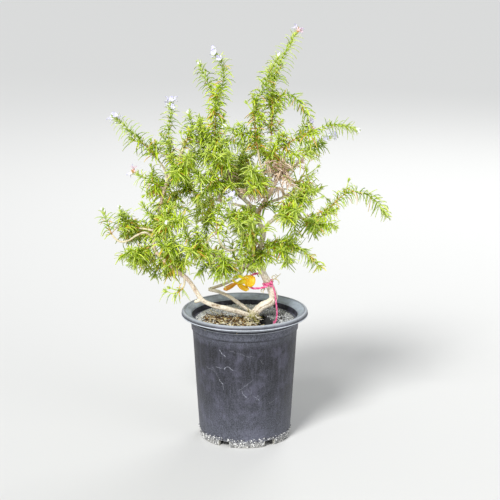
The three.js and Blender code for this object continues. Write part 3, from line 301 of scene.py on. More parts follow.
# Gaps in the foliage that the background or the limbs show through: x, z and radius where they
# are seen in the pot's middle plane
GAPS = [
    (71, 350, 11), (91, 359, 11), (129, 348, 14), (97, 318, 10), (108, 325, 9), (128, 300, 10),
    (-134, 322, 8), (60, 426, 12), (-1, 440, 12), (-82, 402, 8), (-113, 402, 9), (111, 390, 7),
    (-96, 198, 8), (92, 252, 6), (34, 272, 7), (46, 276, 7), (30, 300, 5), (-12, 213, 6),
    (-21, 327, 6), (97, 248, 8), (-125, 362, 8), (63, 465, 9), (-32, 262, 6), (21, 260, 7),
    (22, 270, 7), (21, 284, 6), (20, 306, 4), (27, 318, 4), (34, 330, 4), (41, 342, 4),
    (-1, 450, 8), (-112, 403, 6), (-143, 388, 5), (81, 369, 5), (50, 421, 5), (-166, 274, 6),
    (-36, 296, 4), (-36, 284, 4), (91, 417, 9),
]

# Open blossoms at the ends of the flowering stems, in the order of their nodes: how many stand
# above the end of the stem, and how many just below it
BLOOMS = [
    ("bloom_upper_left", "stem_upper_left", "main", 3, 2),
    ("bloom_left_spire", "stem_left_spire", "main", 4, 2),
    ("bloom_centre_spire", "stem_centre_spire", "main", 2, 2),
    ("bloom_tall", "stem_tall", "main", 3, 0),
    ("bloom_arching", "stem_tall", "fork", 2, 3),
    ("bloom_right_flowering", "stem_right_flowering", "main", 2, 2),
    ("bloom_front_curved", "stem_front_curved", "main", 3, 2),
    ("bloom_left_flowering", "stem_left_flowering", "main", 2, 0),
]
# Clusters whose first blossom has withered
WITHERED = ("bloom_arching", "bloom_left_flowering", "bloom_tall")
BLOSSOM = {"size": 1.1, "spacing": 3.0}

# Stems that end in closed white buds: the stem, and which of its shoots
BUDDED = [
    ("stem_left_leader", 0), ("stem_tall_left", 1), ("stem_tall_left", 0), ("stem_centre_spire", 1),
    ("stem_upper_right", 0), ("stem_far_left", 0), ("stem_left_tuft", 0), ("stem_left_front", 0),
    ("stem_far_right", 0), ("stem_right_twig", 0), ("stem_left_low_front", 0),
]

# The pot's section [radius, height]: from under its floor out and up to the rim, and back inside
POT_SECTION = [
    (0, 9), (54.4, 9), (55.4, 0.2), (58.5, 0.2), (60, 8), (60.4, 12), (61.5, 30), (63.9, 70),
    (66.3, 110), (67.8, 136), (68.35, 144.6), (68.4, 146.4),
    (69.9, 147.4), (69.9, 149.2), (70.5, 157.4), (71.4, 158.2), (70.6, 159.2), (70.8, 160.4),
    (71.8, 161.2), (71.4, 162.4), (74.5, 163.4), (80.6, 164.6), (82.6, 165.4), (82.9, 166.4),
    (82.1, 167.2), (82.3, 169.4), (81.2, 171.3), (79.4, 171.9), (78.0, 171.4), (77.2, 170.4),
    (75.2, 169.6), (70.4, 167.0), (69.2, 165.2), (68.6, 158), (66.9, 156.6), (66.9, 140),
    (58.3, 12.4), (57, 11), (0, 11),
]
# Painted highlights along edges of the pot's lip and ridges: radius, height, how wide and how pale
PAINTED_HIGHLIGHT_EDGES = [
    (82.9, 166.3, 0.6, 1.0), (80.6, 171.6, 2.6, 0.55), (71.4, 158.2, 0.5, 0.6), (71.8, 161.2, 0.5, 0.7),
]
# Notches through the foot ring, the first one at an angle in degrees, and a drain hole behind each
# in the floor. half is half a notch's size outwards, sideways and upwards.
NOTCH = {"count": 6, "first": -57.0, "apart": 60.0, "radius": 58.6, "half": (7.0, 7.5, 8.2)}
DRAIN = {"radius": 6.0, "reach": 38.0, "bottom": 6.0, "top": 14.0, "sides": 24}
# Scratches on the front of the pot: x and z of both ends, and how much they show
SCRATCHES = [
    (-30.9, 134, -28.9, 128.7, 0.9), (-28.9, 128.7, -24.9, 125.3, 0.9),
    (-36.2, 109.3, -28.9, 109.7, 0.7), (-26.3, 109.3, -20.3, 112.6, 0.8),
    (-20.3, 112.6, -14.3, 107.9, 0.8), (-42.2, 110, -26.3, 84, 0.22), (-31.6, 94, -26.3, 81.2, 0.55),
    (-3.6, 80.6, 1.7, 71.2, 0.5), (11, 73.9, 19, 67.9, 0.5), (11, 95.3, 0.4, 87.2, 0.3),
    (0.4, 87.2, -7.6, 80.6, 0.25), (-18.3, 134, 11, 126, 0.2), (-48.9, 107, -36.9, 102, 0.25),
    (24.4, 116.6, 20.4, 122, 0.3), (30, 60, 44, 66, 0.2),
]


# Points and curves


def row(points):
    """Points in millimetres from the pot's foot, as points of the shared frame in metres."""
    return np.asarray(points, float) * 0.001 + POT_FOOT


def seen(spots):
    """Points read in the pot's middle plane, slid along the line of sight to their depth."""
    x, z, depth = np.asarray(spots, float).T
    eye_x, eye_y, eye_z = READ_FROM
    far = 1 - depth / eye_y
    return np.stack([eye_x + (x - eye_x) * far, depth, eye_z + (z - eye_z) * far], 1)


def in_gap(points):
    """Which points are seen in a gap of the foliage."""
    eye_x, eye_y, eye_z = READ_FROM
    far = 1 - points[:, 1] / eye_y
    x = eye_x + (points[:, 0] - eye_x) / far
    z = eye_z + (points[:, 2] - eye_z) / far
    return np.any([np.hypot(x - a, z - b) < radius for a, b, radius in GAPS], axis=0)


def unit(vectors):
    """Vectors at a length of one."""
    return vectors / np.maximum(np.linalg.norm(vectors, axis=-1, keepdims=True), 1e-9)


def round_angles(count):
    """Angles evenly spaced round a full turn."""
    return np.arange(count) * 2 * math.pi / count


def turned(angles, across, across2):
    """Directions at given angles from the first of two directions towards the second."""
    return np.cos(angles)[..., None] * across + np.sin(angles)[..., None] * across2


def round_axis(angle, radius, height):
    """Points at an angle, a radius and a height about an upright axis."""
    places = (radius * np.cos(angle), radius * np.sin(angle), height)
    return np.stack(np.broadcast_arrays(*places), -1)


def leaning(out, along, angle):
    """Directions that lean away from a stem by an angle."""
    return unit(out * np.sin(angle) + along * np.cos(angle))


def chance(a, b):
    """A repeatable number from 0 to 1, the same as in the part's source."""
    value = math.sin(a * 12.9898 + b * 78.233) * 43758.5453
    return value - math.floor(value)


class Curve:
    """A centripetal Catmull-Rom curve through points, measured along its length."""

    def __init__(self, points, per_span=32):
        p = np.asarray(points, float)
        spans = np.vstack([2 * p[0] - p[1], p, 2 * p[-1] - p[-2]])
        t = np.linspace(0, 1, per_span, endpoint=False)[:, None]
        rows = []
        for p0, p1, p2, p3 in zip(spans, spans[1:], spans[2:], spans[3:]):
            pairs = ((p0, p1), (p1, p2), (p2, p3))
            d0, d1, d2 = (math.sqrt(np.linalg.norm(b - a)) for a, b in pairs)
            m1 = ((p1 - p0) / d0 - (p2 - p0) / (d0 + d1) + (p2 - p1) / d1) * d1
            m2 = ((p2 - p1) / d1 - (p3 - p1) / (d1 + d2) + (p3 - p2) / d2) * d1
            square = 3 * (p2 - p1) - 2 * m1 - m2
            cube = 2 * (p1 - p2) + m1 + m2
            rows.append(p1 + m1 * t + square * t**2 + cube * t**3)
        self.points = np.vstack([*rows, p[-1:]])
        steps = np.linalg.norm(np.diff(self.points, axis=0), axis=1)
        self.reached = np.concatenate([[0], np.cumsum(steps)])
        self.length = self.reached[-1]

    def at(self, lengths):
        """The points of the curve at given lengths."""
        return np.stack([np.interp(lengths, self.reached, self.points[:, k]) for k in range(3)], -1)

    def along(self, lengths):
        """The direction of the curve at given lengths."""
        step = 0.05
        lengths = np.asarray(lengths, float)
        ahead = self.at(np.minimum(lengths + step, self.length))
        return unit(ahead - self.at(np.maximum(lengths - step, 0)))

    def even(self, count):
        """Points at even steps from end to end."""
        return self.at(np.linspace(0, self.length, count))

    def nearest(self, point):
        """The length at which the curve is nearest to a point."""
        return self.reached[np.argmin(np.linalg.norm(self.points - point, axis=1))]

    def joint(self, point):
        """The point of the curve that is nearest to a point."""
        return self.at(self.nearest(point))


def carried(tangents):
    """Two directions across each tangent of a line, carried along it without twist."""
    across = []
    for tangent in tangents:
        if across:
            side = across[-1] - tangent * (across[-1] @ tangent)
        else:
            helper = UP if abs(tangent[2]) < 0.9 else np.array([0.0, 1.0, 0.0])
            side = np.cross(helper, tangent)
        across.append(side / np.linalg.norm(side))
    across = np.array(across)
    return across, np.cross(tangents, across)


def frames(curve, lengths):
    """Centre, tangent and two directions across a curve at given lengths."""
    tangents = curve.along(lengths)
    return (curve.at(lengths), tangents, *carried(tangents))


def hashed(cells):
    """A repeatable number from 0 to 1 for each cell of a grid."""
    value = np.sin(cells @ np.array([127.1, 311.7, 74.7])) * 43758.5453
    return value - np.floor(value)


def value_noise(points):
    """Smooth noise from 0 to 1, with features one unit apart."""
    cell = np.floor(points)
    share = points - cell
    share = share * share * (3 - 2 * share)
    total = 0
    for corner in np.ndindex(2, 2, 2):
        weight = np.prod(np.where(corner, share, 1 - share), axis=-1)
        total = total + weight * hashed(cell + corner)
    return total


def noise_along(lengths, size, seed):
    """Smooth noise along a line, with features a size in millimetres apart."""
    return value_noise(np.stack([lengths / size, lengths * 0 + seed, lengths * 0], 1))


def soft_step(past, width):
    """1 well before an edge, 0 well past it, and between them within about a width."""
    return 1 / (1 + np.exp(past / width))


# Shapes


class Shape:
    """Points, faces and four shading values a point, gathered bit by bit into one mesh."""

    def __init__(self):
        self.points, self.values, self.faces, self.finish = [], [], [], []
        self.count = 0

    def add(self, points, faces, values=(0, 0, 0, 0), finish=0):
        """Adds points, groups of faces between them, their shading values and their finish."""
        points = np.asarray(points, float).reshape(-1, 3)
        for group in faces:
            self.faces.append(np.asarray(group) + self.count)
            self.finish.append(np.full(len(group), finish))
        self.points.append(points)
        self.values.append(np.broadcast_to(values, (len(points), 4)))
        self.count += len(points)

    def mesh(self, name):
        """All that was added, as a smooth mesh in metres."""
        mesh = bpy.data.meshes.new(name)
        finish = np.concatenate(self.finish)
        for _ in range(finish.max() + 1):
            mesh.materials.append(None)
        points = row(np.vstack(self.points))
        corners = np.concatenate([group.ravel() for group in self.faces])
        sizes = np.concatenate([np.full(len(group), group.shape[1]) for group in self.faces])
        mesh.vertices.add(len(points))
        mesh.vertices.foreach_set("co", points.ravel())
        mesh.loops.add(len(corners))
        mesh.loops.foreach_set("vertex_index", corners)
        mesh.polygons.add(len(sizes))
        mesh.polygons.foreach_set("loop_start", np.concatenate([[0], np.cumsum(sizes)[:-1]]))
        mesh.polygons.foreach_set("material_index", finish)
        mesh.polygons.foreach_set("use_smooth", np.ones(len(sizes), bool))
        layer = mesh.attributes.new("shade", "FLOAT_COLOR", "POINT")
        layer.data.foreach_set("color", np.vstack(self.values).astype(np.float32).ravel())
        mesh.update(calc_edges=True)
        mesh.validate()
        return mesh


def shading(*columns):
    """The four shading values of each point, from a number or an array for each value."""
    return np.stack(np.broadcast_arrays(*columns), -1)


def linked(name, data):
    """An object of the scene, from its data."""
    made = bpy.data.objects.new(name, data)
    bpy.context.scene.collection.objects.link(made)
    return made


def modified(made):
    """The mesh of an object with its modifiers carried out."""
    evaluated = made.evaluated_get(bpy.context.evaluated_depsgraph_get())
    return bpy.data.meshes.new_from_object(evaluated)


def add_piece(name, mesh, paints, slot, nodes=()):
    """A mesh as a piece that rides on the plant, with its finishes, and stands for CAD nodes."""
    made = linked(name, mesh)
    for place in range(len(mesh.materials)):
        mesh.materials[place] = paints[place]
    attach(made, "root")
    if nodes:
        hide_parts(*nodes)
    return made


def gathered(items, field, width=1, kind=float):
    """A field of every item of a mesh, as numbers or as rows of them."""
    values = np.empty(len(items) * width, kind)
    items.foreach_get(field, values)
    return values.reshape(-1, width) if width > 1 else values


def mesh_points(mesh):
    """The points of a mesh, in millimetres from the pot's foot."""
    return (gathered(mesh.vertices, "co", 3) - POT_FOOT) * 1000


def grid_faces(rings, sides):
    """Quads between closed rings of points that lie one after the other."""
    i, k = np.meshgrid(np.arange(rings - 1), np.arange(sides), indexing="ij")
    a = (i * sides + k).ravel()
    b = (i * sides + (k + 1) % sides).ravel()
    return np.stack([a, b, b + sides, a + sides], 1)


def tube_faces(rings, sides):
    """Faces of a closed tube: its rings, and a fan at each end to the two points after them."""
    k = np.arange(sides)
    following = (k + 1) % sides
    count = rings * sides
    last_ring = count - sides
    first = np.stack([following, k, np.full(sides, count)], 1)
    last = np.stack([last_ring + k, last_ring + following, np.full(sides, count + 1)], 1)
    return [grid_faces(rings, sides), first, last]


def sheet_faces(rows, columns):
    """Faces of a thin sheet: rows of points across its upper side and back across its lower."""
    k = np.arange(columns - 1)
    cap = np.stack([k, k + 1, 2 * columns - 2 - k, 2 * columns - 1 - k], 1)
    return [grid_faces(rows, 2 * columns), cap[:, ::-1], cap + (rows - 1) * 2 * columns]


def tube(shape, centres, radii, sides, values=(0, 0, 0, 0), finish=0):
    """A closed tube through centres, with rounded-off ends."""
    centres = np.asarray(centres, float)
    radii = np.broadcast_to(radii, len(centres))
    tangents = unit(np.gradient(centres, axis=0))
    across, across2 = carried(tangents)
    out = turned(round_angles(sides), across[:, None], across2[:, None])
    points = centres[:, None] + out * radii[:, None, None]
    start = centres[0] - tangents[0] * radii[0] * 0.5
    end = centres[-1] + tangents[-1] * radii[-1] * 0.5
    values = np.asarray(values, float)
    if values.ndim == 2:
        values = np.vstack([np.repeat(values, sides, axis=0), values[0], values[-1]])
    shape.add(np.vstack([points.reshape(-1, 3), start, end]), tube_faces(len(centres), sides), values,
              finish)


def blades(shape, foot, aim, up, pull, length, width, outline, tone, young, edges=4):
    """Closed arched blades, one a row: a rounded upper side, edges rolled under, a blunt tip.

    Each grows from its foot along its aim, bends towards its pull and has its upper side to up.
    """
    if len(foot) == 0:
        return
    count, rings = len(foot), len(outline)
    t, widths = np.array(outline, float).T
    aims = unit(aim[:, None] + pull[:, None] * t[None, :, None] ** 1.4)
    steps = (aims[:, :-1] + aims[:, 1:]) / 2 * (length[:, None, None] * np.diff(t)[None, :, None])
    reached = np.concatenate([np.zeros((count, 1, 3)), np.cumsum(steps, axis=1)], 1)
    centres = foot[:, None] + reached
    side = unit(np.cross(aims, up[:, None]))
    top = np.cross(side, aims)
    half = width[:, None, None] / 2 * widths[None, :, None]
    corners = np.stack([
        centres - side * half - top * half * 0.5,
        centres + top * half * 0.36,
        centres + side * half - top * half * 0.5,
        centres - top * half * 0.16,
    ], 2)[:, :-1, :edges]
    points = np.concatenate([corners.reshape(count, -1, 3), centres[:, -1:]], 1)
    each = points.shape[1]
    k = np.arange(edges)
    last_ring = (rings - 2) * edges
    tips = np.stack([last_ring + k, last_ring + (k + 1) % edges, np.full(edges, each - 1)], 1)
    starts = (np.arange(count) * each)[:, None, None]
    faces = [(group[None] + starts).reshape(-1, group.shape[1])
             for group in (grid_faces(rings - 1, edges), tips, -k[None] % edges)]
    values = np.empty((count, each, 4))
    values[..., 0] = np.append(np.repeat(t[:-1], edges), 1.0)
    values[..., 1] = np.append(np.tile([0.25, 0.0, 0.25, 1.0][:edges], rings - 1), 0.3)
    values[..., 2] = tone[:, None]
    values[..., 3] = young[:, None]
    shape.add(points, faces, values.reshape(-1, 4))


# Finishes


def tint(red, green, blue):
    """A colour given as it looks on a screen, 0 to 255, as the numbers that a shader takes."""
    shares = (channel / 255 for channel in (red, green, blue))
    return (*(s / 12.92 if s <= 0.04045 else ((s + 0.055) / 1.055) ** 2.4 for s in shares), 1.0)


class Paint:
    """A material with short calls for its nodes."""

    def __init__(self, name, **sockets):
        self.material = bpy.data.materials.new(name)
        self.material.use_nodes = True
        self.tree = self.material.node_tree
        self.shader = self.tree.nodes["Principled BSDF"]
        self.place = self.node("TexCoord").outputs["Object"]
        self.set(**sockets)

    def put(self, socket, value):
        """Links a socket to another, or sets it to a number or a colour."""
        if isinstance(value, bpy.types.NodeSocket):
            self.tree.links.new(value, socket)
        else:
            socket.default_value = value

    def set(self, **sockets):
        """Puts values on the shader's own sockets."""
        for name, value in sockets.items():
            self.put(self.shader.inputs[name.replace("_", " ")], value)

    def node(self, kind, inputs=None, **settings):
        """A new node of a kind, with its settings and what goes into it."""
        made = self.tree.nodes.new("ShaderNode" + kind)
        for name, value in settings.items():
            setattr(made, name, value)
        for name, value in (inputs or {}).items():
            self.put(made.inputs[name], value)
        return made

    def shade(self):
        """The four shading values of the mesh, as sockets."""
        source = self.node("Attribute", attribute_name="shade")
        split = self.node("SeparateColor", {"Color": source.outputs["Color"]})
        return (*split.outputs, source.outputs["Alpha"])

    def noise(self, size, detail=3.0, stretch=(1, 1, 1), rough=0.55):
        """Noise with features about size millimetres across."""
        place = self.node("Mapping", {"Vector": self.place, "Scale": stretch}).outputs[0]
        inputs = {"Vector": place, "Scale": 1000 / size, "Detail": detail, "Roughness": rough}
        return self.node("TexNoise", inputs).outputs["Fac"]

    def stroke(self, start, end, width):
        """A shaky line between two points [x, z] of the pot's front, in millimetres."""
        first, last = (row((x, 0, z)) for x, z in (start, end))
        shaken, flattened = (0.005, 0, 0.005), (1, 0, 1)
        shake = self.node("TexNoise", {"Vector": self.place, "Scale": 1000 / 5, "Detail": 2.0})
        moved = self.vector("SUBTRACT", {0: shake.outputs["Color"], 1: (0.5, 0.5, 0.5)})
        moved = self.vector("MULTIPLY_ADD", {0: moved, 1: shaken, 2: self.place})
        flat = self.vector("MULTIPLY", {0: moved, 1: flattened})
        reach = (last - first) * flattened
        away = self.vector("SUBTRACT", {0: flat, 1: tuple(first * flattened)})
        share = self.vector("DOT_PRODUCT", {0: away, 1: tuple(reach / (reach @ reach))}, "Value")
        spot = self.vector("SCALE", {0: tuple(reach), "Scale": self.steps(share, 0, 1)})
        gap = self.vector("DISTANCE", {0: away, 1: spot}, "Value")
        front = self.node("SeparateXYZ", {0: self.place}).outputs["Y"]
        drawn = self.steps(gap, width / 1000, 0.0)
        return self.math("MULTIPLY", drawn, self.steps(front, -0.03, -0.04))

    def vector(self, operation, inputs, output="Vector"):
        """A calculation with vectors, as the socket of its result."""
        return self.node("VectorMath", inputs, operation=operation).outputs[output]

    def ramp(self, value, *stops):
        """A colour for each value, from stops of (value, colour)."""
        made = self.node("ValToRGB", {"Fac": value})
        elements = made.color_ramp.elements
        while len(elements) < len(stops):
            elements.new(0.5)
        for element, (place, colour) in zip(elements, stops):
            element.position = place
            element.color = colour
        return made.outputs["Color"]

    def between(self, grain, first, second):
        """Two colours that noise blends, with its strays cut off."""
        return self.ramp(grain, (0.3, first), (0.7, second))

    def steps(self, value, low, high, to_low=0.0, to_high=1.0):
        """value spread from low..high to to_low..to_high, and cut off there."""
        bounds = {"From Min": low, "From Max": high, "To Min": to_low, "To Max": to_high}
        return self.node("MapRange", {"Value": value, **bounds}).outputs["Result"]

    def mix(self, share, first, second):
        """The first colour, with a share of the second over it."""
        made = self.node("Mix", data_type="RGBA")
        self.put(made.inputs[0], share)
        self.put(made.inputs[6], first)
        self.put(made.inputs[7], second)
        return made.outputs[2]

    def math(self, operation, first, second):
        """A calculation with two numbers, as the socket of its result."""
        made = self.node("Math", operation=operation)
        self.put(made.inputs[0], first)
        self.put(made.inputs[1], second)
        return made.outputs[0]

    def bump(self, height, depth):
        """Relief depth millimetres deep."""
        inputs = {"Height": height, "Distance": depth / 1000}
        self.set(Normal=self.node("Bump", inputs).outputs["Normal"])


def needle_paint(name, dry, deep, mid, bright, under, tip):
    """Needles: deep to bright by chance, a few dry, and pale underneath, when young and at the tip."""
    paint = Paint(name, Roughness=0.46, Specular_IOR_Level=0.28)
    along, below, tone, young = paint.shade()
    fleck = paint.noise(4.0, 2.0)
    shade = paint.math("ADD", tone, paint.steps(fleck, 0.3, 0.7, -0.1, 0.1))
    colour = paint.ramp(shade, (0.08, dry), (0.14, deep), (0.5, mid), (1.0, bright))
    colour = paint.mix(paint.steps(young, 0.7, 1.0, 0.0, 0.5), colour, tip)
    colour = paint.mix(paint.steps(below, 0.3, 1.0, 0.0, 0.7), colour, under)
    colour = paint.mix(paint.steps(along, 0.65, 1.0, 0.0, 0.7), colour, tip)
    paint.set(Base_Color=colour)
    paint.bump(fleck, 0.1)
    return paint.material


def young_stem_paint():
    """Brown where the stem is woody, turning green towards its end."""
    paint = Paint("young_stem", Roughness=0.6)
    _, _, _, young = paint.shade()
    grain = paint.noise(2.2, 3.0)
    woody = paint.between(grain, tint(186, 132, 62), tint(226, 186, 120))
    green = paint.between(grain, tint(166, 190, 66), tint(212, 224, 128))
    paint.set(Base_Color=paint.mix(paint.steps(young, 0.15, 0.5), woody, green))
    paint.bump(grain, 0.2)
    return paint.material


def bark_paint():
    """Pale bark with brown in its furrows: smooth twigs, pinkish higher up, fibres at the crown."""
    paint = Paint("bark", Roughness=0.85)
    height, fresh, fibrous, pinkish = paint.shade()
    grain = paint.noise(2.0, 5.0)
    pores = paint.noise(0.7, 3.0)
    pale = paint.ramp(grain, (0.25, tint(206, 190, 164)), (0.5, tint(234, 224, 204)),
                      (0.8, tint(252, 248, 238)))
    brown = paint.between(pores, tint(112, 88, 62), tint(176, 148, 114))
    furrow = paint.math("ADD", height, paint.steps(pores, 0.3, 0.7, -0.14, 0.14))
    colour = paint.mix(paint.steps(furrow, 0.44, 0.24), pale, brown)
    twig = paint.between(grain, tint(208, 190, 146), tint(242, 232, 198))
    colour = paint.mix(fresh, colour, twig)
    pink = paint.between(grain, tint(190, 148, 120), tint(232, 204, 178))
    colour = paint.mix(pinkish, colour, pink)
    fibres = paint.between(pores, tint(66, 62, 18), tint(184, 178, 90))
    paint.set(Base_Color=paint.mix(fibrous, colour, fibres))
    paint.bump(paint.math("ADD", grain, pores), 0.35)
    return paint.material


def petal_paint():
    """White to lavender along the petal, with violet specks, or pinkish where it has withered."""
    paint = Paint("petal", Roughness=0.55, Sheen_Weight=0.25)
    along, dark, _, faded = paint.shade()
    colour = paint.ramp(along, (0.0, tint(250, 250, 252)), (0.6, tint(240, 239, 252)),
                        (1.0, tint(214, 211, 246)))
    specks = paint.steps(paint.noise(0.9, 2.0), 0.62, 0.7)
    colour = paint.mix(paint.math("MULTIPLY", specks, 0.35), colour, tint(140, 130, 214))
    colour = paint.mix(faded, colour, tint(232, 160, 140))
    paint.set(Base_Color=paint.mix(dark, colour, tint(150, 144, 196)))
    paint.bump(paint.noise(0.5, 3.0), 0.08)
    return paint.material


def calyx_paint():
    """Grey-green, paler towards the petals, and rusty where the flower has withered."""
    paint = Paint("calyx", Roughness=0.6)
    along, _, _, faded = paint.shade()
    colour = paint.mix(along, tint(170, 190, 110), tint(206, 206, 170))
    paint.set(Base_Color=paint.mix(faded, colour, tint(206, 120, 84)))
    paint.bump(paint.noise(0.6, 2.0), 0.1)
    return paint.material


def twine_paint():
    """Pink twine: each strand in its own tone, with pale flecks on its fibres painted as highlights."""
    paint = Paint("twine", Roughness=0.75, Sheen_Weight=0.3)
    fibre = paint.noise(0.5, 4.0)
    _, dark, tone, _ = paint.shade()
    colour = paint.ramp(tone, (0.0, tint(214, 44, 116)), (0.5, tint(234, 78, 144)),
                        (1.0, tint(250, 140, 186)))
    # Pale flecks on the fibres, painted as highlights
    colour = paint.mix(paint.steps(fibre, 0.5, 0.75, 0.0, 0.6), colour, tint(255, 196, 220))
    paint.set(Base_Color=paint.mix(dark, colour, tint(176, 20, 92)))
    paint.bump(fibre, 0.25)
    return paint.material


def ribbon_paint():
    """Crinkled yellow ribbon: painted shade in orange where it is folded behind itself, greenish where
    light comes through.
    """
    paint = Paint("ribbon", Roughness=0.34, Specular_IOR_Level=0.5)
    _, dark, green, _ = paint.shade()
    crinkle = paint.noise(3.5, 3.0)
    colour = paint.ramp(crinkle, (0.3, tint(255, 176, 0)), (0.55, tint(255, 204, 4)),
                        (0.8, tint(255, 224, 60)))
    # Painted shade: orange on the ribbon's folded-back layers
    colour = paint.mix(dark, colour, tint(222, 142, 34))
    paint.set(Base_Color=paint.mix(green, colour, tint(244, 236, 30)))
    paint.bump(crinkle, 0.35)
    return paint.material


def make_paints():
    """The finishes that more than one piece uses, by name."""
    return {
        "needle": needle_paint(
            "needle_green", tint(222, 170, 60), tint(82, 116, 4), tint(164, 198, 10),
            tint(218, 236, 48), tint(200, 216, 96), tint(230, 238, 150)),
        "dry_needle": needle_paint(
            "needle_dry", tint(150, 112, 82), tint(178, 138, 108), tint(222, 190, 162),
            tint(244, 224, 202), tint(240, 224, 204), tint(238, 214, 190)),
        "young_stem": young_stem_paint(),
        "bark": bark_paint(),
        "petal": petal_paint(),
        "calyx": calyx_paint(),
        "twine": twine_paint(),
        "ribbon": ribbon_paint(),
    }


def pot_paint():
    """Charcoal plastic: fine grey dust, streaks down the wall, scratches, and painted highlights and
    sheen on the rim.
    """
    paint = Paint("pot_plastic", Specular_IOR_Level=0.4)
    dusty, painted_highlight, inside, crust = paint.shade()
    cloud = paint.noise(26.0, 8.0, rough=0.72)
    streak = paint.noise(4.5, 5.0, stretch=(1, 1, 0.16), rough=0.7)
    grain = paint.noise(1.1, 4.0, rough=0.7)
    colour = paint.ramp(cloud, (0.38, tint(11, 11, 15)), (0.5, tint(26, 26, 33)),
                        (0.61, tint(62, 61, 74)))
    colour = paint.mix(paint.steps(streak, 0.48, 0.72, 0.0, 0.42), colour, tint(92, 92, 107))
    colour = paint.mix(paint.steps(grain, 0.5, 0.7, 0.0, 0.3), colour, tint(109, 109, 124))
    speckle = paint.noise(2.4, 3.0, rough=0.75)
    specks = paint.mix(paint.steps(dusty, 0.5, 0.8), paint.steps(grain, 0.36, 0.6, 0.1, 0.8),
                       paint.steps(speckle, 0.42, 0.62, 0.1, 0.95))
    film = paint.math("MULTIPLY", dusty, specks)
    colour = paint.mix(film, colour, tint(126, 130, 144))
    rubbed = paint.steps(paint.noise(46.0, 2.0), 0.55, 0.7, 0.0, 0.3)
    long_noise = paint.noise(12.0, 1.0, stretch=(1, 1, 0.6))
    line = paint.math("ABSOLUTE", paint.math("SUBTRACT", long_noise, 0.5), 0)
    scratched = paint.math("MULTIPLY", paint.steps(line, 0.012, 0.0), rubbed)
    for x0, z0, x1, z1, share in SCRATCHES:
        scratch = paint.stroke((x0, z0), (x1, z1), 0.7)
        scratched = paint.math("MAXIMUM", scratched, paint.math("MULTIPLY", scratch, share))
    broken = paint.steps(paint.noise(2.6, 2.0), 0.35, 0.6, 0.15, 0.85)
    colour = paint.mix(paint.math("MULTIPLY", scratched, broken), colour, tint(190, 194, 206))
    # Painted highlights: pale lines along the lip's edges and ridges, and a broad one on the lip's top
    edge = paint.math("MULTIPLY", painted_highlight, paint.steps(streak, 0.2, 0.6, 0.65, 1.0))
    colour = paint.mix(edge, colour, tint(222, 229, 238))
    # Painted sheen: a paler blue-grey band on the rim's inner slope, which faces up to the light
    painted_rim_sheen = paint.math("MULTIPLY", inside, paint.steps(cloud, 0.35, 0.62, 0.45, 1.0))
    colour = paint.mix(painted_rim_sheen, colour, tint(168, 178, 188))
    lime = paint.ramp(grain, (0.35, tint(78, 80, 80)), (0.5, tint(176, 174, 164)),
                      (0.65, tint(240, 238, 230)))
    paint.set(Base_Color=paint.mix(crust, colour, lime))
    paint.set(Roughness=paint.steps(cloud, 0.3, 0.7, 0.42, 0.62))
    paint.bump(paint.math("ADD", grain, paint.math("MULTIPLY", streak, 0.6)), 0.15)
    return paint.material


def soil_paint():
    """Potting mix: dark crumbs, brown among the mulch, grey grit on it, and near-black painted shade in
    the hollow.
    """
    paint = Paint("potting_mix", Roughness=0.95)
    mulch, light, deep, _ = paint.shade()
    crumb = paint.noise(2.4, 5.0, rough=0.65)
    fine = paint.noise(0.8, 3.0)
    dark = paint.ramp(crumb, (0.3, tint(34, 30, 27)), (0.6, tint(74, 68, 62)),
                      (0.8, tint(132, 128, 120)))
    brown = paint.ramp(crumb, (0.3, tint(46, 34, 20)), (0.6, tint(104, 80, 46)),
                       (0.8, tint(166, 140, 92)))
    grey = paint.ramp(fine, (0.3, tint(160, 163, 164)), (0.6, tint(220, 222, 220)),
                      (0.8, tint(250, 250, 247)))
    colour = paint.mix(mulch, dark, brown)
    colour = paint.mix(paint.math("MULTIPLY", light, 0.85), colour, grey)
    # Painted shade: near black down in the hollow
    paint.set(Base_Color=paint.mix(paint.math("MULTIPLY", deep, 0.9), colour, tint(20, 19, 20)))
    paint.bump(paint.math("ADD", crumb, fine), 1.0)
    return paint.material


def crumb_paint(name, *stops):
    """Loose bits: each has its own colour by chance, with grain on it."""
    paint = Paint(name, Roughness=0.9)
    _, _, tone, _ = paint.shade()
    grain = paint.noise(0.9, 4.0)
    dirt = paint.steps(grain, 0.35, 0.7, 0.0, 0.34)
    paint.set(Base_Color=paint.mix(dirt, paint.ramp(tone, *stops), tint(60, 50, 40)))
    paint.bump(grain, 0.4)
    return paint.material


# Camera, floor and light


def add_camera():
    """The camera of the photograph, level from side to side and tipped down by its pitch."""
    data = bpy.data.cameras.new("camera")
    data.lens = LENS
    data.sensor_width = 36.0
    data.clip_start = 0.05
    data.clip_end = 100.0
    camera = linked("camera", data)
    camera.location = row(EYE)
    camera.rotation_euler = (math.radians(90 - PITCH), 0, 0)
    bpy.context.scene.camera = camera


def add_light(name, kind, place, aim, size, power):
    """A lamp aimed at a point: a round panel of a size in metres, or a sun some degrees wide."""
    data = bpy.data.lights.new(name, kind)
    if kind == "SUN":
        data.angle = math.radians(size)
    else:
        data.shape = "DISK"
        data.size = size
    data.energy = power
    light = linked(name, data)
    light.location = place
    heading = linked(name + "_aim", None)
    heading.location = aim
    track = light.constraints.new("TRACK_TO")
    track.target = heading
    track.track_axis = "TRACK_NEGATIVE_Z"
    track.up_axis = "UP_Y"


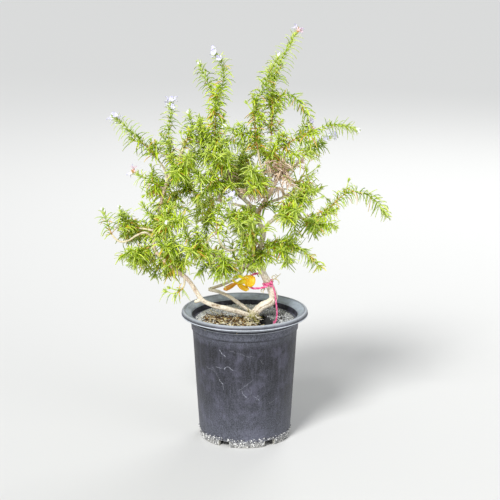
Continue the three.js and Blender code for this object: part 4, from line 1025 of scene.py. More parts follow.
def add_studio():
    """A pale floor, a soft sun from the front, three panels and a faint sky."""
    floor_mesh = bpy.data.meshes.new("floor")
    reach = 40.0
    corners = [(-reach, -reach, 0), (reach, -reach, 0), (reach, reach, 0), (-reach, reach, 0)]
    floor_mesh.from_pydata(corners, [], [(0, 1, 2, 3)])
    floor = linked("floor", floor_mesh)
    paint = Paint("floor_card", Roughness=0.9, Base_Color=tint(214, 214, 212))
    floor_mesh.materials.append(paint.material)

    middle = (0, 0, 0.28)
    add_light("key", "SUN", (-0.9, -1.8, 2.1), middle, 18, 3.4)
    add_light("fill", "AREA", (1.8, -1.4, 1.0), middle, 1.6, 12)
    add_light("low", "AREA", (-0.5, -2.1, 0.2), (0, 0, 0.3), 1.0, 10)
    add_light("back", "AREA", (0.7, 1.9, 1.8), middle, 1.2, 20)
    world = bpy.data.worlds.new("studio")
    world.use_nodes = True
    background = world.node_tree.nodes["Background"]
    background.inputs["Color"].default_value = (0.92, 0.95, 1.0, 1)
    background.inputs["Strength"].default_value = 0.36
    bpy.context.scene.world = world
    bpy.context.scene.view_settings.view_transform = "Standard"


# The tie: twine and ribbon


def lay_limbs():
    """The curve of each limb, by name, from its parent's curve outwards."""
    curves = {}
    for name, parent, _, _, spots in LIMBS:
        points = seen(spots)
        if parent:
            points[0] = curves[parent].joint(points[0])
        curves[name] = Curve(points)
    return curves


def tie_place(trunk):
    """Where the tie goes round the trunk: the trunk's middle and directions there, and the knot."""
    spot = trunk.nearest(seen([(WRAP["x"], WRAP["z"], WRAP["depth"])])[0])
    found = frames(trunk, np.array([spot, spot + 0.005 * trunk.length]))
    place = dict(zip(("centre", "tangent", "across", "across2"), (part[0] for part in found)))
    place["knot"] = place["centre"] + np.array([3.6, -WRAP["inner"] - 1, -0.8])
    return place


def twisted(shape, points, radius, pitch=7.0, dark=0.0):
    """Twine along a line: strands that wind round each other."""
    line = Curve(points, 24)
    steps = max(8, int(line.length / 0.55))
    lengths = np.linspace(0, line.length, steps)
    centres, _, across, across2 = frames(line, lengths)
    strand_radius = radius * 0.5
    strands = TIE["strands"]
    for k in range(strands):
        angle = lengths * 2 * math.pi / pitch + k * 2 * math.pi / strands
        out = turned(angle, across, across2)
        values = (0, dark, k / (strands - 1), 0)
        tube(shape, centres + out * (radius - strand_radius), strand_radius, 7, values)


def add_fray(route, paints):
    """The loose fibres of the twine's cut end."""
    rng = np.random.default_rng(3)
    shape = Shape()
    line = Curve(route, 24)
    end, heading = line.at(line.length), line.along(line.length)
    for tone in np.linspace(0, 1, 13):
        aim = unit(heading * 0.8 + rng.normal(0, 0.75, 3) + UP * 0.35)
        bend = rng.normal(0, 0.9, 3)
        start = end - heading * rng.uniform(0.2, 3.0)
        reach = rng.uniform(2.4, 4.6)
        hair = Curve([start, start + aim * reach * 0.5, start + aim * reach + bend], 8)
        tube(shape, hair.even(8), np.linspace(0.34, 0.18, 8), 5, (0, 0, tone, 0))
    return add_piece("tie_fray", shape.mesh("tie_fray"), [paints["twine"]], "tie")


def tail_route(knot):
    """The free end of the tie: out of the knot, down to the soil, and a little way along it."""
    x, y, z = knot
    hanging = [(2.4, -0.9, -1.9), (4.4, -0.7, -6.5), (6.2, 0.6, -16), (7.2, 1, -26), (8.2, 1, -36),
               (8.2, 0.4, -42)]
    points = [(x + dx, y + dy, z + dz) for dx, dy, dz in hanging]
    clear = TIE["tail_radius"] + 0.25
    for dx, dy, lift in ((7.3, -0.5, 2.2), (6.2, -2.4, 0.2), (4.9, -5.6, 0)):
        points.append((x + dx, y + dy, soil_height(x + dx, y + dy) + clear + lift))
    return np.array(points)


def loop_route(knot):
    """The slack loop of the tie: out to the left and back behind the trunk."""
    return knot + np.array([
        (-3.7, -2.8, -0.9), (-8.5, -3.7, -2.6), (-17, -2.8, -4.4), (-25, -0.6, -4.2), (-30, 3.5, 0),
        (-29, 7, 6), (-23, 10.5, 10.6), (-15, 14.4, 11), (-8.5, 17, 7.8), (-4.4, 17.2, 3)])


def add_cord(name, node, route, radius, paints, with_pieces):
    """A length of twine as a piece."""
    line = Curve(route, 24)
    shape = Shape()
    twisted(shape, route, radius)
    piece = add_piece(name, shape.mesh(name), [paints["twine"]], "tie", [node])
    path = row(line.even(32))


def add_wrap(place, paints):
    """Two turns of twine round the trunk, and the knot at the front."""
    shape = Shape()
    turns = np.linspace(0, 4 * math.pi, 60)
    radius = WRAP["inner"] + 1.0
    rise = (turns / (2 * math.pi) - 1) * WRAP["pitch"] * 1.15
    ring = turned(turns, place["across"], place["across2"])
    line = place["centre"] + ring * radius + rise[:, None] * place["tangent"]
    twisted(shape, line, 1.1, pitch=5.0)
    for lean, size, shift in ((0.3, 2.6, 0.0), (1.35, 2.4, 0.5), (-0.7, 2.1, -0.4)):
        angles = np.linspace(0.3, 2 * math.pi - 0.3, 26)
        x = np.cos(angles) * size
        z = np.sin(angles) * size * 0.8
        loop = np.stack([x * math.cos(lean) - z * math.sin(lean), np.sin(2 * angles) * 0.8 - shift,
                         x * math.sin(lean) + z * math.cos(lean)], 1)
        twisted(shape, place["knot"] + loop, 1.0, pitch=4.0, dark=0.15)
    add_piece("tie_knot", shape.mesh("tie_knot"), [paints["twine"]], "tie", ["tie_wrap"])


def sheet_strip(shape, spine, across, widths, values, crown=0.25):
    """A thin strip of ribbon along a spine, crowned across by a share of its width."""
    spine = np.asarray(spine, float)
    tangents = unit(np.gradient(spine, axis=0))
    across = unit(across - tangents * np.sum(across * tangents, axis=1, keepdims=True))
    normal = np.cross(tangents, across)
    columns = np.linspace(-1, 1, 7)
    half = np.asarray(widths, float)[:, None, None] / 2
    curl = (1 - columns**2)[None, :, None] * normal[:, None] * half * crown
    face = spine[:, None] + columns[None, :, None] * half * across[:, None] + curl
    under = (face - normal[:, None] * RIBBON["thickness"])[:, ::-1]
    shape.add(np.concatenate([face, under], 1), sheet_faces(len(spine), len(columns)), values)


def add_ribbon(paints):
    """A folded ribbon on the loop: a round loop seen flat, a small loop and two cut tails.

    Gives the piece and the area of one of its sides, in square metres.
    """
    shape = Shape()
    middle = seen([(RIBBON["x"], RIBBON["z"], RIBBON["depth"] - 0.5)])[0]
    knot = seen([(-10, 206.5, RIBBON["depth"])])[0]
    steps = 15
    t = np.linspace(0, 1, steps)
    sideways = np.tile([0.0, 0.35, 0.94], (steps, 1))

    # The round loop is a length of ribbon turned back on itself, wide in the middle
    swell = 14.6 * np.clip(1 - np.abs(2 * t - 1) ** 2.6, 0.02, 1) ** 0.5
    swell = swell * (1 + 0.05 * np.sin(t * 14))
    ripple = 0.45 * np.sin(t * 11.0)
    # The back layer of the round loop gets a little painted shade
    for depth, lift, dark in ((-0.9, 0.0, 0.0), (0.9, 0.5, 0.2)):
        spine = middle + np.stack([-8.0 + 16.0 * t, depth * np.sin(math.pi * t) + ripple,
                                   lift * np.sin(math.pi * t) + 0.4 * np.sin(t * 8)], 1)
        sheet_strip(shape, spine, sideways, swell, (0, dark, 0, 0), 0.05)

    # Each bend: its points from the knot, its width, how much painted shade and how green, and the way
    # across it
    bends = [
        ([(0.5, 0.3, 0), (5, -1.2, 1.6), (9, -1.6, 2.6), (12.5, 0.2, 1.6)],
         6.4, 0.0, 0.5, (0, 0.35, 0.94)),
        ([(0, 0, 0.4), (3.5, -1.2, -2.8), (8.5, -1.6, -6.2), (15.4, -0.6, -8.6)],
         7.0, 0.0, 0.0, (0.45, 0.43, 0.74)),
        ([(0, 0, 0), (-5.5, -0.8, -2.6), (-11, -1.2, -5.8), (-17.6, -0.4, -8.8)],
         6.4, 0.8, 0.0, (-0.4, 0.44, 0.75)),
        ([(0, 0.2, 0.4), (-4.8, -0.4, 2.8), (-5.0, -0.8, 7.4), (1.0, -0.8, 9.4), (6.8, -0.6, 7.4),
          (8.6, -0.2, 2.6)],
         4.6, 0.0, 0.8, (0.4, 0.7, 0.6)),
    ]
    for bend, width, dark, green, across in bends:
        spine = Curve(knot + np.array(bend), 20).even(steps)
        widths = width * np.clip(0.42 + 1.5 * t, 0, 1) * np.clip((1.04 - t) * 5, 0.35, 1)
        sheet_strip(shape, spine, np.tile(across, (steps, 1)), widths, (0, dark, green, 0))
    mesh = shape.mesh("ribbon_bow")
    piece = add_piece("ribbon_bow", mesh, [paints["ribbon"]], "ribbon", ["ribbon"])
    area = sum(face.area for face in mesh.polygons) / 2
    return piece, area


# Wood


def bark_relief(points, axis_points, tangents, lengths):
    """Ridges that run along the limb, with flakes and fine grain on them, from 0 to 1."""
    out = points - axis_points
    across = unit(np.cross(tangents, UP + np.array([0.3, 0.1, 0])))
    across2 = np.cross(tangents, across)
    u = np.sum(out * across, axis=1)
    v = np.sum(out * across2, axis=1)
    layers = []
    for (wide, long), shift in ((SKIN["ridge"], 40), (SKIN["flake"], 9)):
        layers.append(value_noise(np.stack([u / wide + shift, v / wide + shift, lengths / long], 1)))
    ridges, flakes = layers
    fine = value_noise(points / SKIN["grain"] + 100)
    return 0.5 * ridges + 0.3 * flakes + 0.2 * fine


def limb_radii(curve, start, end, flare):
    """Lengths along a limb and its radii there: uneven, and flared at its foot by a share."""
    lengths = np.linspace(0, curve.length, max(3, int(curve.length / 1.6)))
    flared = 1 + flare * np.exp(-lengths / 5.0)
    wander = 0.9 + 0.2 * noise_along(lengths, 11, start * 7)
    return lengths, (start + (end - start) * lengths / curve.length) * flared * wander


def lay_wood(curves):
    """Tubes for the root crown, trunk and limbs, and samples of the lines that they follow.

    Each sample has a point, the line's direction and length there, its radius, and a name.
    """
    shape = Shape()
    samples = []
    for name, parent, start, end, _ in LIMBS:
        curve = curves[name]
        lengths, radii = limb_radii(curve, start, end, 0.4 if parent else 0.0)
        if not parent:
            radii *= 1 + 0.14 * np.clip((120 - lengths) / 60, 0, 1)
        centres = curve.at(lengths)
        tube(shape, centres, radii, 14)
        samples += zip(centres, curve.along(lengths), lengths, radii, [name] * len(lengths))
    heights = (ROOT["bottom"], 135, 145, 152, 157, 160, ROOT["top"])
    crown = np.array([(ROOT["x"], ROOT["y"], z) for z in heights])
    crown_radii = np.array([5.5, 6.4, 6.7, 7.0, 7.2, 6.4, 4.4])
    tube(shape, crown, crown_radii, 20)
    samples += [(c, UP, c[2], r, "crown") for c, r in zip(crown, crown_radii)]
    for angle, reach in ((200, 10), (255, 8), (310, 9), (20, 8), (95, 9), (150, 8)):
        out = round_axis(math.radians(angle), 1, 0)
        start = np.array([ROOT["x"], ROOT["y"], 159.0]) + out * 3
        bend, end = start + out * reach * 0.5 + (0, 0, -2.5), start + out * reach * 0.62 + (0, 0, -9)
        root = Curve([start, bend, end])
        lengths = np.linspace(0, root.length, 9)
        centres = root.at(lengths)
        tube(shape, centres, 2.2 - 0.09 * lengths, 10)
        samples += [(c, t, s, 2.0, "crown") for c, t, s in zip(centres, root.along(lengths), lengths)]
    return shape, samples


def grown_together(shape):
    """Overlapping tubes joined into one skin: its points, its normals and its faces."""
    skin = linked("limbs", shape.mesh("limbs"))
    remesh = skin.modifiers.new("remesh", "REMESH")
    remesh.mode = "VOXEL"
    remesh.voxel_size = SKIN["cell"]
    remesh.use_smooth_shade = True
    grown = modified(skin)
    points, normals = mesh_points(grown), gathered(grown.vertices, "normal", 3)
    corners = gathered(grown.loops, "vertex_index", kind=int)
    sizes = gathered(grown.polygons, "loop_total", kind=int)
    bpy.data.objects.remove(skin)
    return points, normals, split_faces(corners, sizes)


def split_faces(corners, sizes):
    """Face corners as one array of triangles and one of quads."""
    starts = np.concatenate([[0], np.cumsum(sizes)[:-1]])
    return [corners[starts[sizes == n][:, None] + np.arange(n)] for n in (3, 4) if (sizes == n).any()]


def add_wood(curves, feet, paints):
    """Root crown, trunk and limbs grown together, with the bare feet of the leafy stems."""
    tubes, samples = lay_wood(curves)
    points, normals, faces = grown_together(tubes)
    tree = kdtree.KDTree(len(samples))
    for i, sample in enumerate(samples):
        tree.insert(sample[0], i)
    tree.balance()
    near = [samples[tree.find(point)[1]] for point in points]
    axis_points, tangents, lengths, radii, names = (np.array(part) for part in zip(*near))

    along = np.sum((points - axis_points) * tangents, axis=1)
    height = bark_relief(points, axis_points + along[:, None] * tangents, tangents, lengths + along)
    crown_share = np.clip(1 - np.linalg.norm(points - np.array([10, -2, 158]), axis=1) / 13, 0, 1)
    depth = np.clip(radii * 0.26, 0.25, 1.3) * (1 + 1.2 * crown_share)
    points = points + normals * ((height - 0.5) * depth)[:, None] * 1.5

    fresh = np.clip(1 - (radii - 1.4) / 1.2, 0, 1) * 0.7
    fibrous = np.clip(crown_share * 2.4 * value_noise(points / 4 + 7) * 1.3, 0, 1)
    left = (names == "left_limb") * np.clip((lengths - 60) / 60, 0, 1)
    high = (names == "trunk") * np.clip((lengths - 130) / 50, 0, 1)
    pinkish = np.clip(left * 0.55 + high * 0.7, 0, 1)

    wood = Shape()
    wood.add(points, faces, shading(height, fresh, fibrous, pinkish))
    for curve, bare_length in feet:
        wood_foot(wood, curve, bare_length)
    add_strips(wood)
    add_piece("bark_and_limbs", wood.mesh("bark_and_limbs"), [paints["bark"]], "bark", ["wood"])


def wood_foot(shape, curve, bare_length):
    """The bare foot of a leafy stem, from inside its limb to where the needles begin."""
    lengths = np.linspace(0, bare_length, max(4, int(bare_length / 2.0)))
    knots = noise_along(lengths, 3.0, curve.length)
    flare = 1 + 0.5 * np.exp(-lengths / 2.5)
    radii = (1.65 - 0.5 * lengths / bare_length) * (0.88 + 0.24 * knots) * flare
    fresh = np.clip(0.4 + 0.6 * lengths / bare_length, 0, 1)
    tube(shape, curve.at(lengths), radii, 9, shading(knots, fresh, 0, 0))


def add_strips(shape):
    """Fibres of old bark that peel off the root crown and the first bends."""
    rng = np.random.default_rng(11)
    count = COUNTS["bark_strips"]
    out = round_axis(rng.uniform(0, 2 * math.pi, count), 1, 0)
    foot = np.array([ROOT["x"], ROOT["y"], 0]) + out * rng.uniform(4.5, 7.6, count)[:, None]
    foot[:, 2] = rng.uniform(154, 165, count)
    aim = unit(out * rng.uniform(0.2, 0.9, count)[:, None] + UP * rng.uniform(-1, 1, count)[:, None]
               + rng.normal(0, 0.35, (count, 3)))
    pull = out * 0.5 + rng.normal(0, 0.6, (count, 3)) - UP * 0.5
    age = rng.uniform(0, 1, count)
    blades(shape, foot, aim, out, pull, rng.uniform(4, 10, count), rng.uniform(1.1, 2.6, count),
           NEEDLE_OUTLINE, age, age)

    # The bark's finish reads relief and fibres where the needles' finish reads other things
    tone = shape.values[-1][:, 2]
    shape.values[-1] = shading(0.1 + 0.9 * tone, 0, np.where(tone < 0.55, 0.9, 0.15), 0)


# Leafy stems


class Shoot:
    """A stem, fork or side shoot, with the stations that its solid has along it."""

    def __init__(self, curve, start, radius, base=None, turn=0.0):
        self.curve, self.start, self.base, self.taken = curve, start * curve.length, base, set()
        self.leafy = (1 - start) * curve.length
        first = LAYOUT["first_on_side" if base else "first"]
        stations = max(1, math.floor((self.leafy - first - 1) / LAYOUT["spacing"] + 0.5))
        spots = [0.0]
        for i in range(stations):
            at = first + (self.leafy - first - LAYOUT["last"]) * (i + 0.2) / stations
            spots += [at - LAYOUT["base"] / 2, at + LAYOUT["base"] / 2]
        spots.append(self.leafy)
        self.stations = stations
        self.shares = np.array(spots) / self.leafy
        lengths = self.start + np.array(spots)
        self.centres, self.tangents, self.across, self.across2 = frames(curve, lengths)
        twist = turn
        if base:
            corner = base["corner"] - base["centre"]
            twist = math.atan2(corner @ self.across2[0], corner @ self.across[0]) + math.pi / 4
        self.twists = [twist + math.ceil(i / 2) * LAYOUT["turn"] for i in range(len(spots))]
        self.sizes = radius + (LAYOUT["tip"] - radius) * self.shares

    def outward(self, i, k):
        """The direction that a side of the square stem faces at a station."""
        angle = self.twists[i] + k * math.pi / 2
        return math.cos(angle) * self.across[i] + math.sin(angle) * self.across2[i]

    def corner(self, i, k):
        """The corner before a side, at a station."""
        return self.centres[i] + self.outward(i, k - 0.5) * self.sizes[i]

    def face(self, i, k):
        """A side of the stem between two stations, as what a shoot on it starts from."""
        corners = [self.corner(*spot) for spot in ((i, k), (i, k + 1), (i + 1, k + 1), (i + 1, k))]
        return {"corner": corners[0], "centre": np.mean(corners, axis=0), "outward": self.outward(i, k),
                "tangent": self.tangents[i], "axis": self.centres[i]}

    def face_towards(self, i, direction):
        """The free side that faces a direction most, which is then taken."""
        free = [k for k in range(4) if (i, k) not in self.taken]
        side = max(free, key=lambda k: self.outward(i, k) @ direction)
        self.taken.add((i, side))
        return self.face(i, side)


def side_shoots(main, name, seed, wanted):
    """The side shoots that the stem's solid has: their tips are corners of its mesh."""
    corners = mesh_points(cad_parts[name].data)
    found = []
    for k in range(wanted):
        i = 1 + 2 * math.floor(main.stations * (0.05 + 0.75 * k / wanted))
        direction = turned(k * LEAF_TURN + seed, main.across[i], main.across2[i])
        taken = set(main.taken)
        base = main.face_towards(i, direction)
        aim = leaning(base["outward"], base["tangent"], math.radians(SIDE_SHOOT["angle"]))
        length = SIDE_SHOOT["length"] * (0.75 + 0.5 * chance(seed, k))
        foot = base["centre"]
        end = foot + aim * length + UP * length * 0.14
        if np.min(np.linalg.norm(corners - end, axis=1)) < SIDE_SHOOT["nearest"]:
            reach = CLEAR_SIDE_SHOOT if name in CLEAR else 1.0
            line = [foot, foot + aim * length * 0.5 * reach, foot + (end - foot) * reach]
            found.append(Shoot(Curve(line), 0.0, LAYOUT["fork_radius"], base))
        else:
            main.taken = taken
    return found


def plan_stem(index, stem, curves):
    """A leafy stem with its forks and side shoots, as its solid has them, and its bare foot."""
    name, limb, bare, wanted, spots, forks = stem
    points = seen(spots)
    points[0] = curves[limb].joint(points[0])
    curve = Curve(points)
    foot = max(bare, 5 / curve.length)
    main = Shoot(curve, foot + JOINT_GAP / curve.length, LAYOUT["radius"], turn=index * 1.7)
    shoots = [main]
    for fork in forks:
        points = seen(fork)
        stations = np.arange(1, len(main.centres) - 2, 2)
        i = int(stations[np.argmin(np.linalg.norm(main.centres[stations] - points[0], axis=1))])
        base = main.face_towards(i, unit(points[1] - points[0]))
        clear = base["centre"] + base["outward"] * 2.6 + base["tangent"] * 1.6
        line = Curve(np.vstack([base["centre"], clear, points[1:]]))
        shoots.append(Shoot(line, 0.0, LAYOUT["fork_radius"], base))
    shoots += side_shoots(main, name, index + 1, wanted)
    return {"name": name, "shoots": shoots, "foot": (curve, foot * curve.length)}


def sprouts(shoot, reach, rng):
    """Young shoots between those of the solid, each turned on from the last."""
    count = int(shoot.leafy * reach / SPROUT["step"])
    if count == 0:
        return
    share = 0.03 + reach * (np.arange(count) + rng.uniform(0.1, 0.9, count)) / count
    centres, tangents, across, across2 = frames(shoot.curve, shoot.start + share * shoot.leafy)
    out = turned(rng.uniform(0, 6.3) + np.arange(count) * LEAF_TURN, across, across2)
    aim = leaning(out, tangents, rng.uniform(0.65, 1.0, count)[:, None])
    length = SPROUT["length"] * rng.uniform(0.6, 1.3, count) * (1 - 0.7 * share)
    shut = in_gap(centres + aim * length[:, None] * 0.7)
    for foot, heading, long in zip(centres[~shut], aim[~shut], length[~shut]):
        end = foot + heading * long + UP * long * 0.16
        yield Curve([foot, foot + heading * long * 0.5, end], 12)


class Leafing:
    """Needles grown along a stretch of stem, in pairs, with each pair across the last."""

    def __init__(self, shape, curve, start, scale, rng, dry):
        self.shape, self.scale, self.rng, self.dry = shape, scale, rng, dry
        leafy = curve.length - start
        self.count = max(4, int(leafy / NEEDLE["step"]))
        order = np.arange(self.count)
        level = order - 0.8 * (order % 2) + 0.35 + rng.uniform(-0.15, 0.15, self.count)
        self.share = np.clip(level / self.count, 0.002, 1)
        self.frames = frames(curve, start + self.share * leafy)
        self.angles = rng.uniform(0, 3.1) + order * math.pi / 2 + rng.normal(0, 0.16, self.count)
        self.shoot_tone = rng.uniform(-0.14, 0.14)
        self.end, self.end_aim = curve.at(curve.length), curve.along(curve.length)

    def spread(self, low, high):
        """A number for each joint, by chance between two bounds."""
        return self.rng.uniform(low, high, self.count)

    def tones(self, share):
        """From deep to bright, and now and then dry where the stem is old."""
        tone = np.clip(0.55 + self.shoot_tone + self.rng.normal(0, 0.24, len(share)), 0.26, 1)
        withered = self.rng.uniform(0, 1, len(share)) < 0.2 * (1 - share) ** 1.5
        return np.where(withered, 0.0, tone)

    def grow(self, phase, lean, length, width, outline, edges, keep, droop):
        """A needle in each joint, apart from those left out by chance or seen in a gap.

        Needles that point up are shorter, and all bend down by their droop.
        """
        centres, tangents, across, across2 = self.frames
        out = turned(phase, across, across2)
        aim = leaning(out, tangents, np.radians(lean)[:, None])
        pull = -tangents * 0.42 - UP * 0.9 * (1 - 0.55 * np.abs(aim[:, 2:3]))
        pull = pull * droop[:, None] + self.rng.normal(0, 0.15, (self.count, 3))
        if self.dry:
            pull = pull * 1.4 + self.rng.normal(0, 0.6, (self.count, 3))
        length = length * (1 - 0.4 * np.clip(aim[:, 2], 0, 1) * (1 - np.abs(tangents[:, 2])))
        kept = self.rng.uniform(0, 1, self.count) < keep
        kept &= ~in_gap(centres + aim * length[:, None] * 0.55)
        share = self.share[kept]
        blades(self.shape, (centres + out * 0.5)[kept], aim[kept], tangents[kept], pull[kept],
               length[kept] * self.scale, width[kept], outline, self.tones(share), share, edges)

    def add_long(self):
        """Long needles: two in each joint, more upright and shorter towards the end."""
        for side in (0, math.pi):
            lean = NEEDLE["lean"] + (NEEDLE["tip_lean"] - NEEDLE["lean"]) * self.share**4
            length = NEEDLE["length"] * (1 - 0.34 * self.share**8) * self.spread(0.68, 1.1)
            self.grow(self.angles + side, lean + self.rng.normal(0, 6, self.count), length,
                      NEEDLE["width"] * self.spread(0.85, 1.1), NEEDLE_OUTLINE, 4,
                      0.7 if self.dry else 0.94, self.spread(0.6, 1.7))

    def add_short(self):
        """Short needles in the same joints, at all angles round the stem."""
        for side in np.tile([0, math.pi], SHORT["each"]):
            phase = self.angles + side + self.spread(-0.9, 0.9)
            lean = self.spread(26, 66) * (1 - 0.4 * self.share**3)
            self.grow(phase, lean, SHORT["length"] * self.spread(0.6, 1.3),
                      SHORT["width"] * self.spread(0.8, 1.1), SHORT_OUTLINE, 3, 0.85,
                      self.spread(0.1, 0.7))

    def add_tuft(self):
        """The bud at the end: upright young needles that close round it."""
        count = 8
        _, _, across, across2 = self.frames
        out = turned(np.arange(count) * LEAF_TURN, across[-1], across2[-1])
        aim = leaning(out, self.end_aim, np.radians(np.linspace(6, 38, count))[:, None])
        foot = self.end - self.end_aim * np.linspace(0.5, 3.5, count)[:, None]
        blades(self.shape, foot, aim, np.tile(self.end_aim, (count, 1)), -out * 0.25,
               np.linspace(3.5, 7.5, count) * self.scale, np.full(count, 1.25), SHORT_OUTLINE,
               self.rng.uniform(0.5, 0.9, count), np.full(count, 0.8), 3)


def add_leafy_stem(index, plan, curves, paints):
    """One stem as a piece: its shoots, the young and further ones on them, and closed buds."""
    rng = np.random.default_rng(100 + index)
    dry = plan["name"].startswith("dead")
    shape = Shape()
    own = [shoot.curve for shoot in plan["shoots"]]

    def leaf_out(curve, start, thick, thin, young, scale=1.0, inside=None):
        """A twig from thick to thin, with needles; inside is a point that its foot is sunk to."""
        lengths = np.linspace(start, curve.length, max(4, int((curve.length - start) / 3.5)))
        share = (lengths - start) / (curve.length - start)
        centres = curve.at(lengths)
        if inside is not None:
            centres[0] = inside
        values = shading(0, 0, 0, young + (1 - young) * share)
        tube(shape, centres, thick + (thin - thick) * share, 6, values, finish=1)
        leafing = Leafing(shape, curve, start, scale, rng, dry)
        leafing.add_long()
        leafing.add_short()
        leafing.add_tuft()

    for shoot in plan["shoots"]:
        if shoot.base:
            leaf_out(shoot.curve, shoot.start, 0.95, 0.55, 0.3, inside=shoot.base["axis"])
        else:
            leaf_out(shoot.curve, shoot.start, 1.0, 0.55, 0.0)
        for sprout in () if dry else sprouts(shoot, CLEAR.get(plan["name"], SPROUT["reach"]), rng):
            leaf_out(sprout, 0.0, 0.7, 0.45, 0.4, SPROUT["needles"])
    for stem, which in BUDDED:
        if stem == plan["name"]:
            end = plan["shoots"][which]
            heading = (end.tangents[-1], end.across[-1], end.across2[-1])
            bud_head(shape, end.curve.at(end.curve.length), heading, 0, petal=2, calyx=3)
    for stem, spots in FURTHER:
        if stem == plan["name"]:
            points = seen(spots)
            joints = [curve.joint(points[0]) for curve in [*curves.values(), *own]]
            points[0] = min(joints, key=lambda joint: np.linalg.norm(joint - points[0]))
            leaf_out(Curve(points), 0.0, 1.0, 0.55, 0.1)
    name = plan["name"].replace("stem_", "shoot_").replace("dead_twig", "dry_shoot")
    needle, slot = ("dry_needle", "dead_needles") if dry else ("needle", "needles")
    finishes = [paints[key] for key in (needle, "young_stem", "petal", "calyx")]
    add_piece(name, shape.mesh(name), finishes, slot, [plan["name"]])


# Flowers


def lobe(shape, base, axis, face, length, width, cup, faded):
    """A thin petal lobe: narrow at its foot, broad and rounded at its end, cupped."""
    rows, columns = 7, 5
    t = np.linspace(0, 1, rows)
    side = unit(np.cross(axis, face))
    spread = width * np.array([0.34, 0.5, 0.72, 0.92, 1.0, 0.86, 0.42]) / 2
    bend = cup * length * t**2
    spine = base + axis * (length * t)[:, None] + face * bend[:, None]
    columns_at = np.linspace(-1, 1, columns)
    top = (spine[:, None] + side * (columns_at[None, :] * spread[:, None])[..., None]
           + face * (0.3 * spread[:, None] * columns_at[None, :] ** 2)[..., None])
    both = np.concatenate([top, (top - face * 0.18)[:, ::-1]], 1)
    values = shading(np.repeat(t, columns * 2), 0, 0, faded)
    shape.add(both, sheet_faces(rows, columns), values)


def blossom(shape, start, direction, axis, faded, rng):
    """Calyx, tube, a two-lobed upper lip, a lower lip with a spoon and two wings, and stamens."""
    size = BLOSSOM["size"]
    mouth = start + direction * 4.5 * size
    sideways = unit(np.cross(axis, direction))
    share = np.linspace(0, 1, 6)
    values = shading(share, 0, 0, faded)
    tube_radii = size * np.array([0.6, 0.7, 0.8, 0.95, 1.2, 1.35])
    tube(shape, start + (mouth - start) * share[:, None], tube_radii, 8, values)
    cup = start + direction * np.linspace(-0.6, 2.6, 5)[:, None] * size
    tube(shape, cup, size * np.array([0.5, 1.0, 1.2, 1.25, 1.15]), 8, values[:5], finish=1)
    inward = mouth - direction * 0.7
    # Each lobe: how far up and to the side it leans, its length and width, and how it is cupped
    lobes = [
        (0.95, 0.3, 4.6, 2.9, -0.15), (0.95, -0.3, 4.6, 2.9, -0.15), (-0.85, 0.0, 5.4, 4.8, 0.3),
        (-0.35, 0.95, 4.4, 2.8, 0.12), (-0.35, -0.95, 4.4, 2.8, 0.12),
    ]
    for lift, spread, length, width, cup_share in lobes:
        aim = unit(direction * 0.75 + axis * lift + sideways * spread)
        out = unit(np.cross(np.cross(aim, direction), aim))
        length = length * size * rng.uniform(0.9, 1.05)
        lobe(shape, inward, aim, out, length, width * size, cup_share * 0.8, faded * 0.4)
    for spread in (-0.35, 0.35):
        bends = enumerate([(0, 0), (1.8, 1.6), (3.6, 1.4), (4.8, 0.0)])
        arc = Curve([mouth + size * (direction * ahead + axis * lift + sideways * spread * k)
                     for k, (ahead, lift) in bends], 8)
        spots = arc.even(10)
        tube(shape, spots, 0.24 * size, 5, (0.8, 0, 0, faded * 0.3))
        tube(shape, spots[-2:], 0.4 * size, 6, (0, 1, 0, 0))


def bud_head(shape, foot, heading, faded, petal, calyx):
    """Closed buds round the end of a stem, some in the petals' finish and some in the calyx's."""
    axis, across, across2 = heading
    for k in range(6):
        outward = turned(k * LEAF_TURN + 1.0, across, across2)
        direction = unit(outward * 0.6 + axis * 0.8)
        bud = foot + axis * (0.8 + 0.7 * k) + direction * np.linspace(0, 4.2, 5)[:, None]
        finish = calyx if k % 3 == 2 else petal
        tube(shape, bud, [0.6, 1.0, 1.25, 1.1, 0.5], 6, (0.1, 0, 0, faded * 0.6), finish)


def add_blooms(plans, paints):
    """The flower clusters, each on a short core at the end of its stem or fork."""
    by_name = {plan["name"]: plan for plan in plans}
    for index, (node, stem, which, above_end, below_end) in enumerate(BLOOMS):
        rng = np.random.default_rng(40 + index)
        seed = index + 0.7
        curve = by_name[stem]["shoots"][1 if which == "fork" else 0].curve
        centres, tangents, across, across2 = frames(curve, np.array([0.99, 1.0]) * curve.length)
        axis, across, across2 = tangents[1], across[1], across2[1]
        foot = centres[1] + axis * JOINT_GAP
        faded = 0.85 if node in WITHERED else 0.0
        shape = Shape()
        core = foot + axis * np.linspace(-0.8, 4.4, 5)[:, None]
        tube(shape, core, [0.6, 0.8, 1.1, 1.3, 1.0], 7, (0.2, 0, 0, 0.2 * faded), finish=1)

        # Those of the solid stand above the end of the stem, and a few more just below it
        rounds = [(k * 2 * math.pi / above_end + seed, 2 + 2.4 * chance(seed, k))
                  for k in range(above_end)]
        rounds += [(k * LEAF_TURN + seed + 1, -BLOSSOM["spacing"] * (k + 1)) for k in range(below_end)]
        for k, (angle, above) in enumerate(rounds):
            outward = turned(angle, across, across2)
            direction = unit(outward * (0.75 if above > 0 else 1.0) + axis * 0.66)
            withered = faded if k == 0 else faded * 0.15
            blossom(shape, foot + axis * above, direction, axis, withered, rng)
        bud_head(shape, foot + axis * 2, (axis, across, across2), faded, petal=0, calyx=1)
        name = node.replace("bloom", "flowers")
        add_piece(name, shape.mesh(name), [paints["petal"], paints["calyx"]], "petals", [node])


# Pot and soil


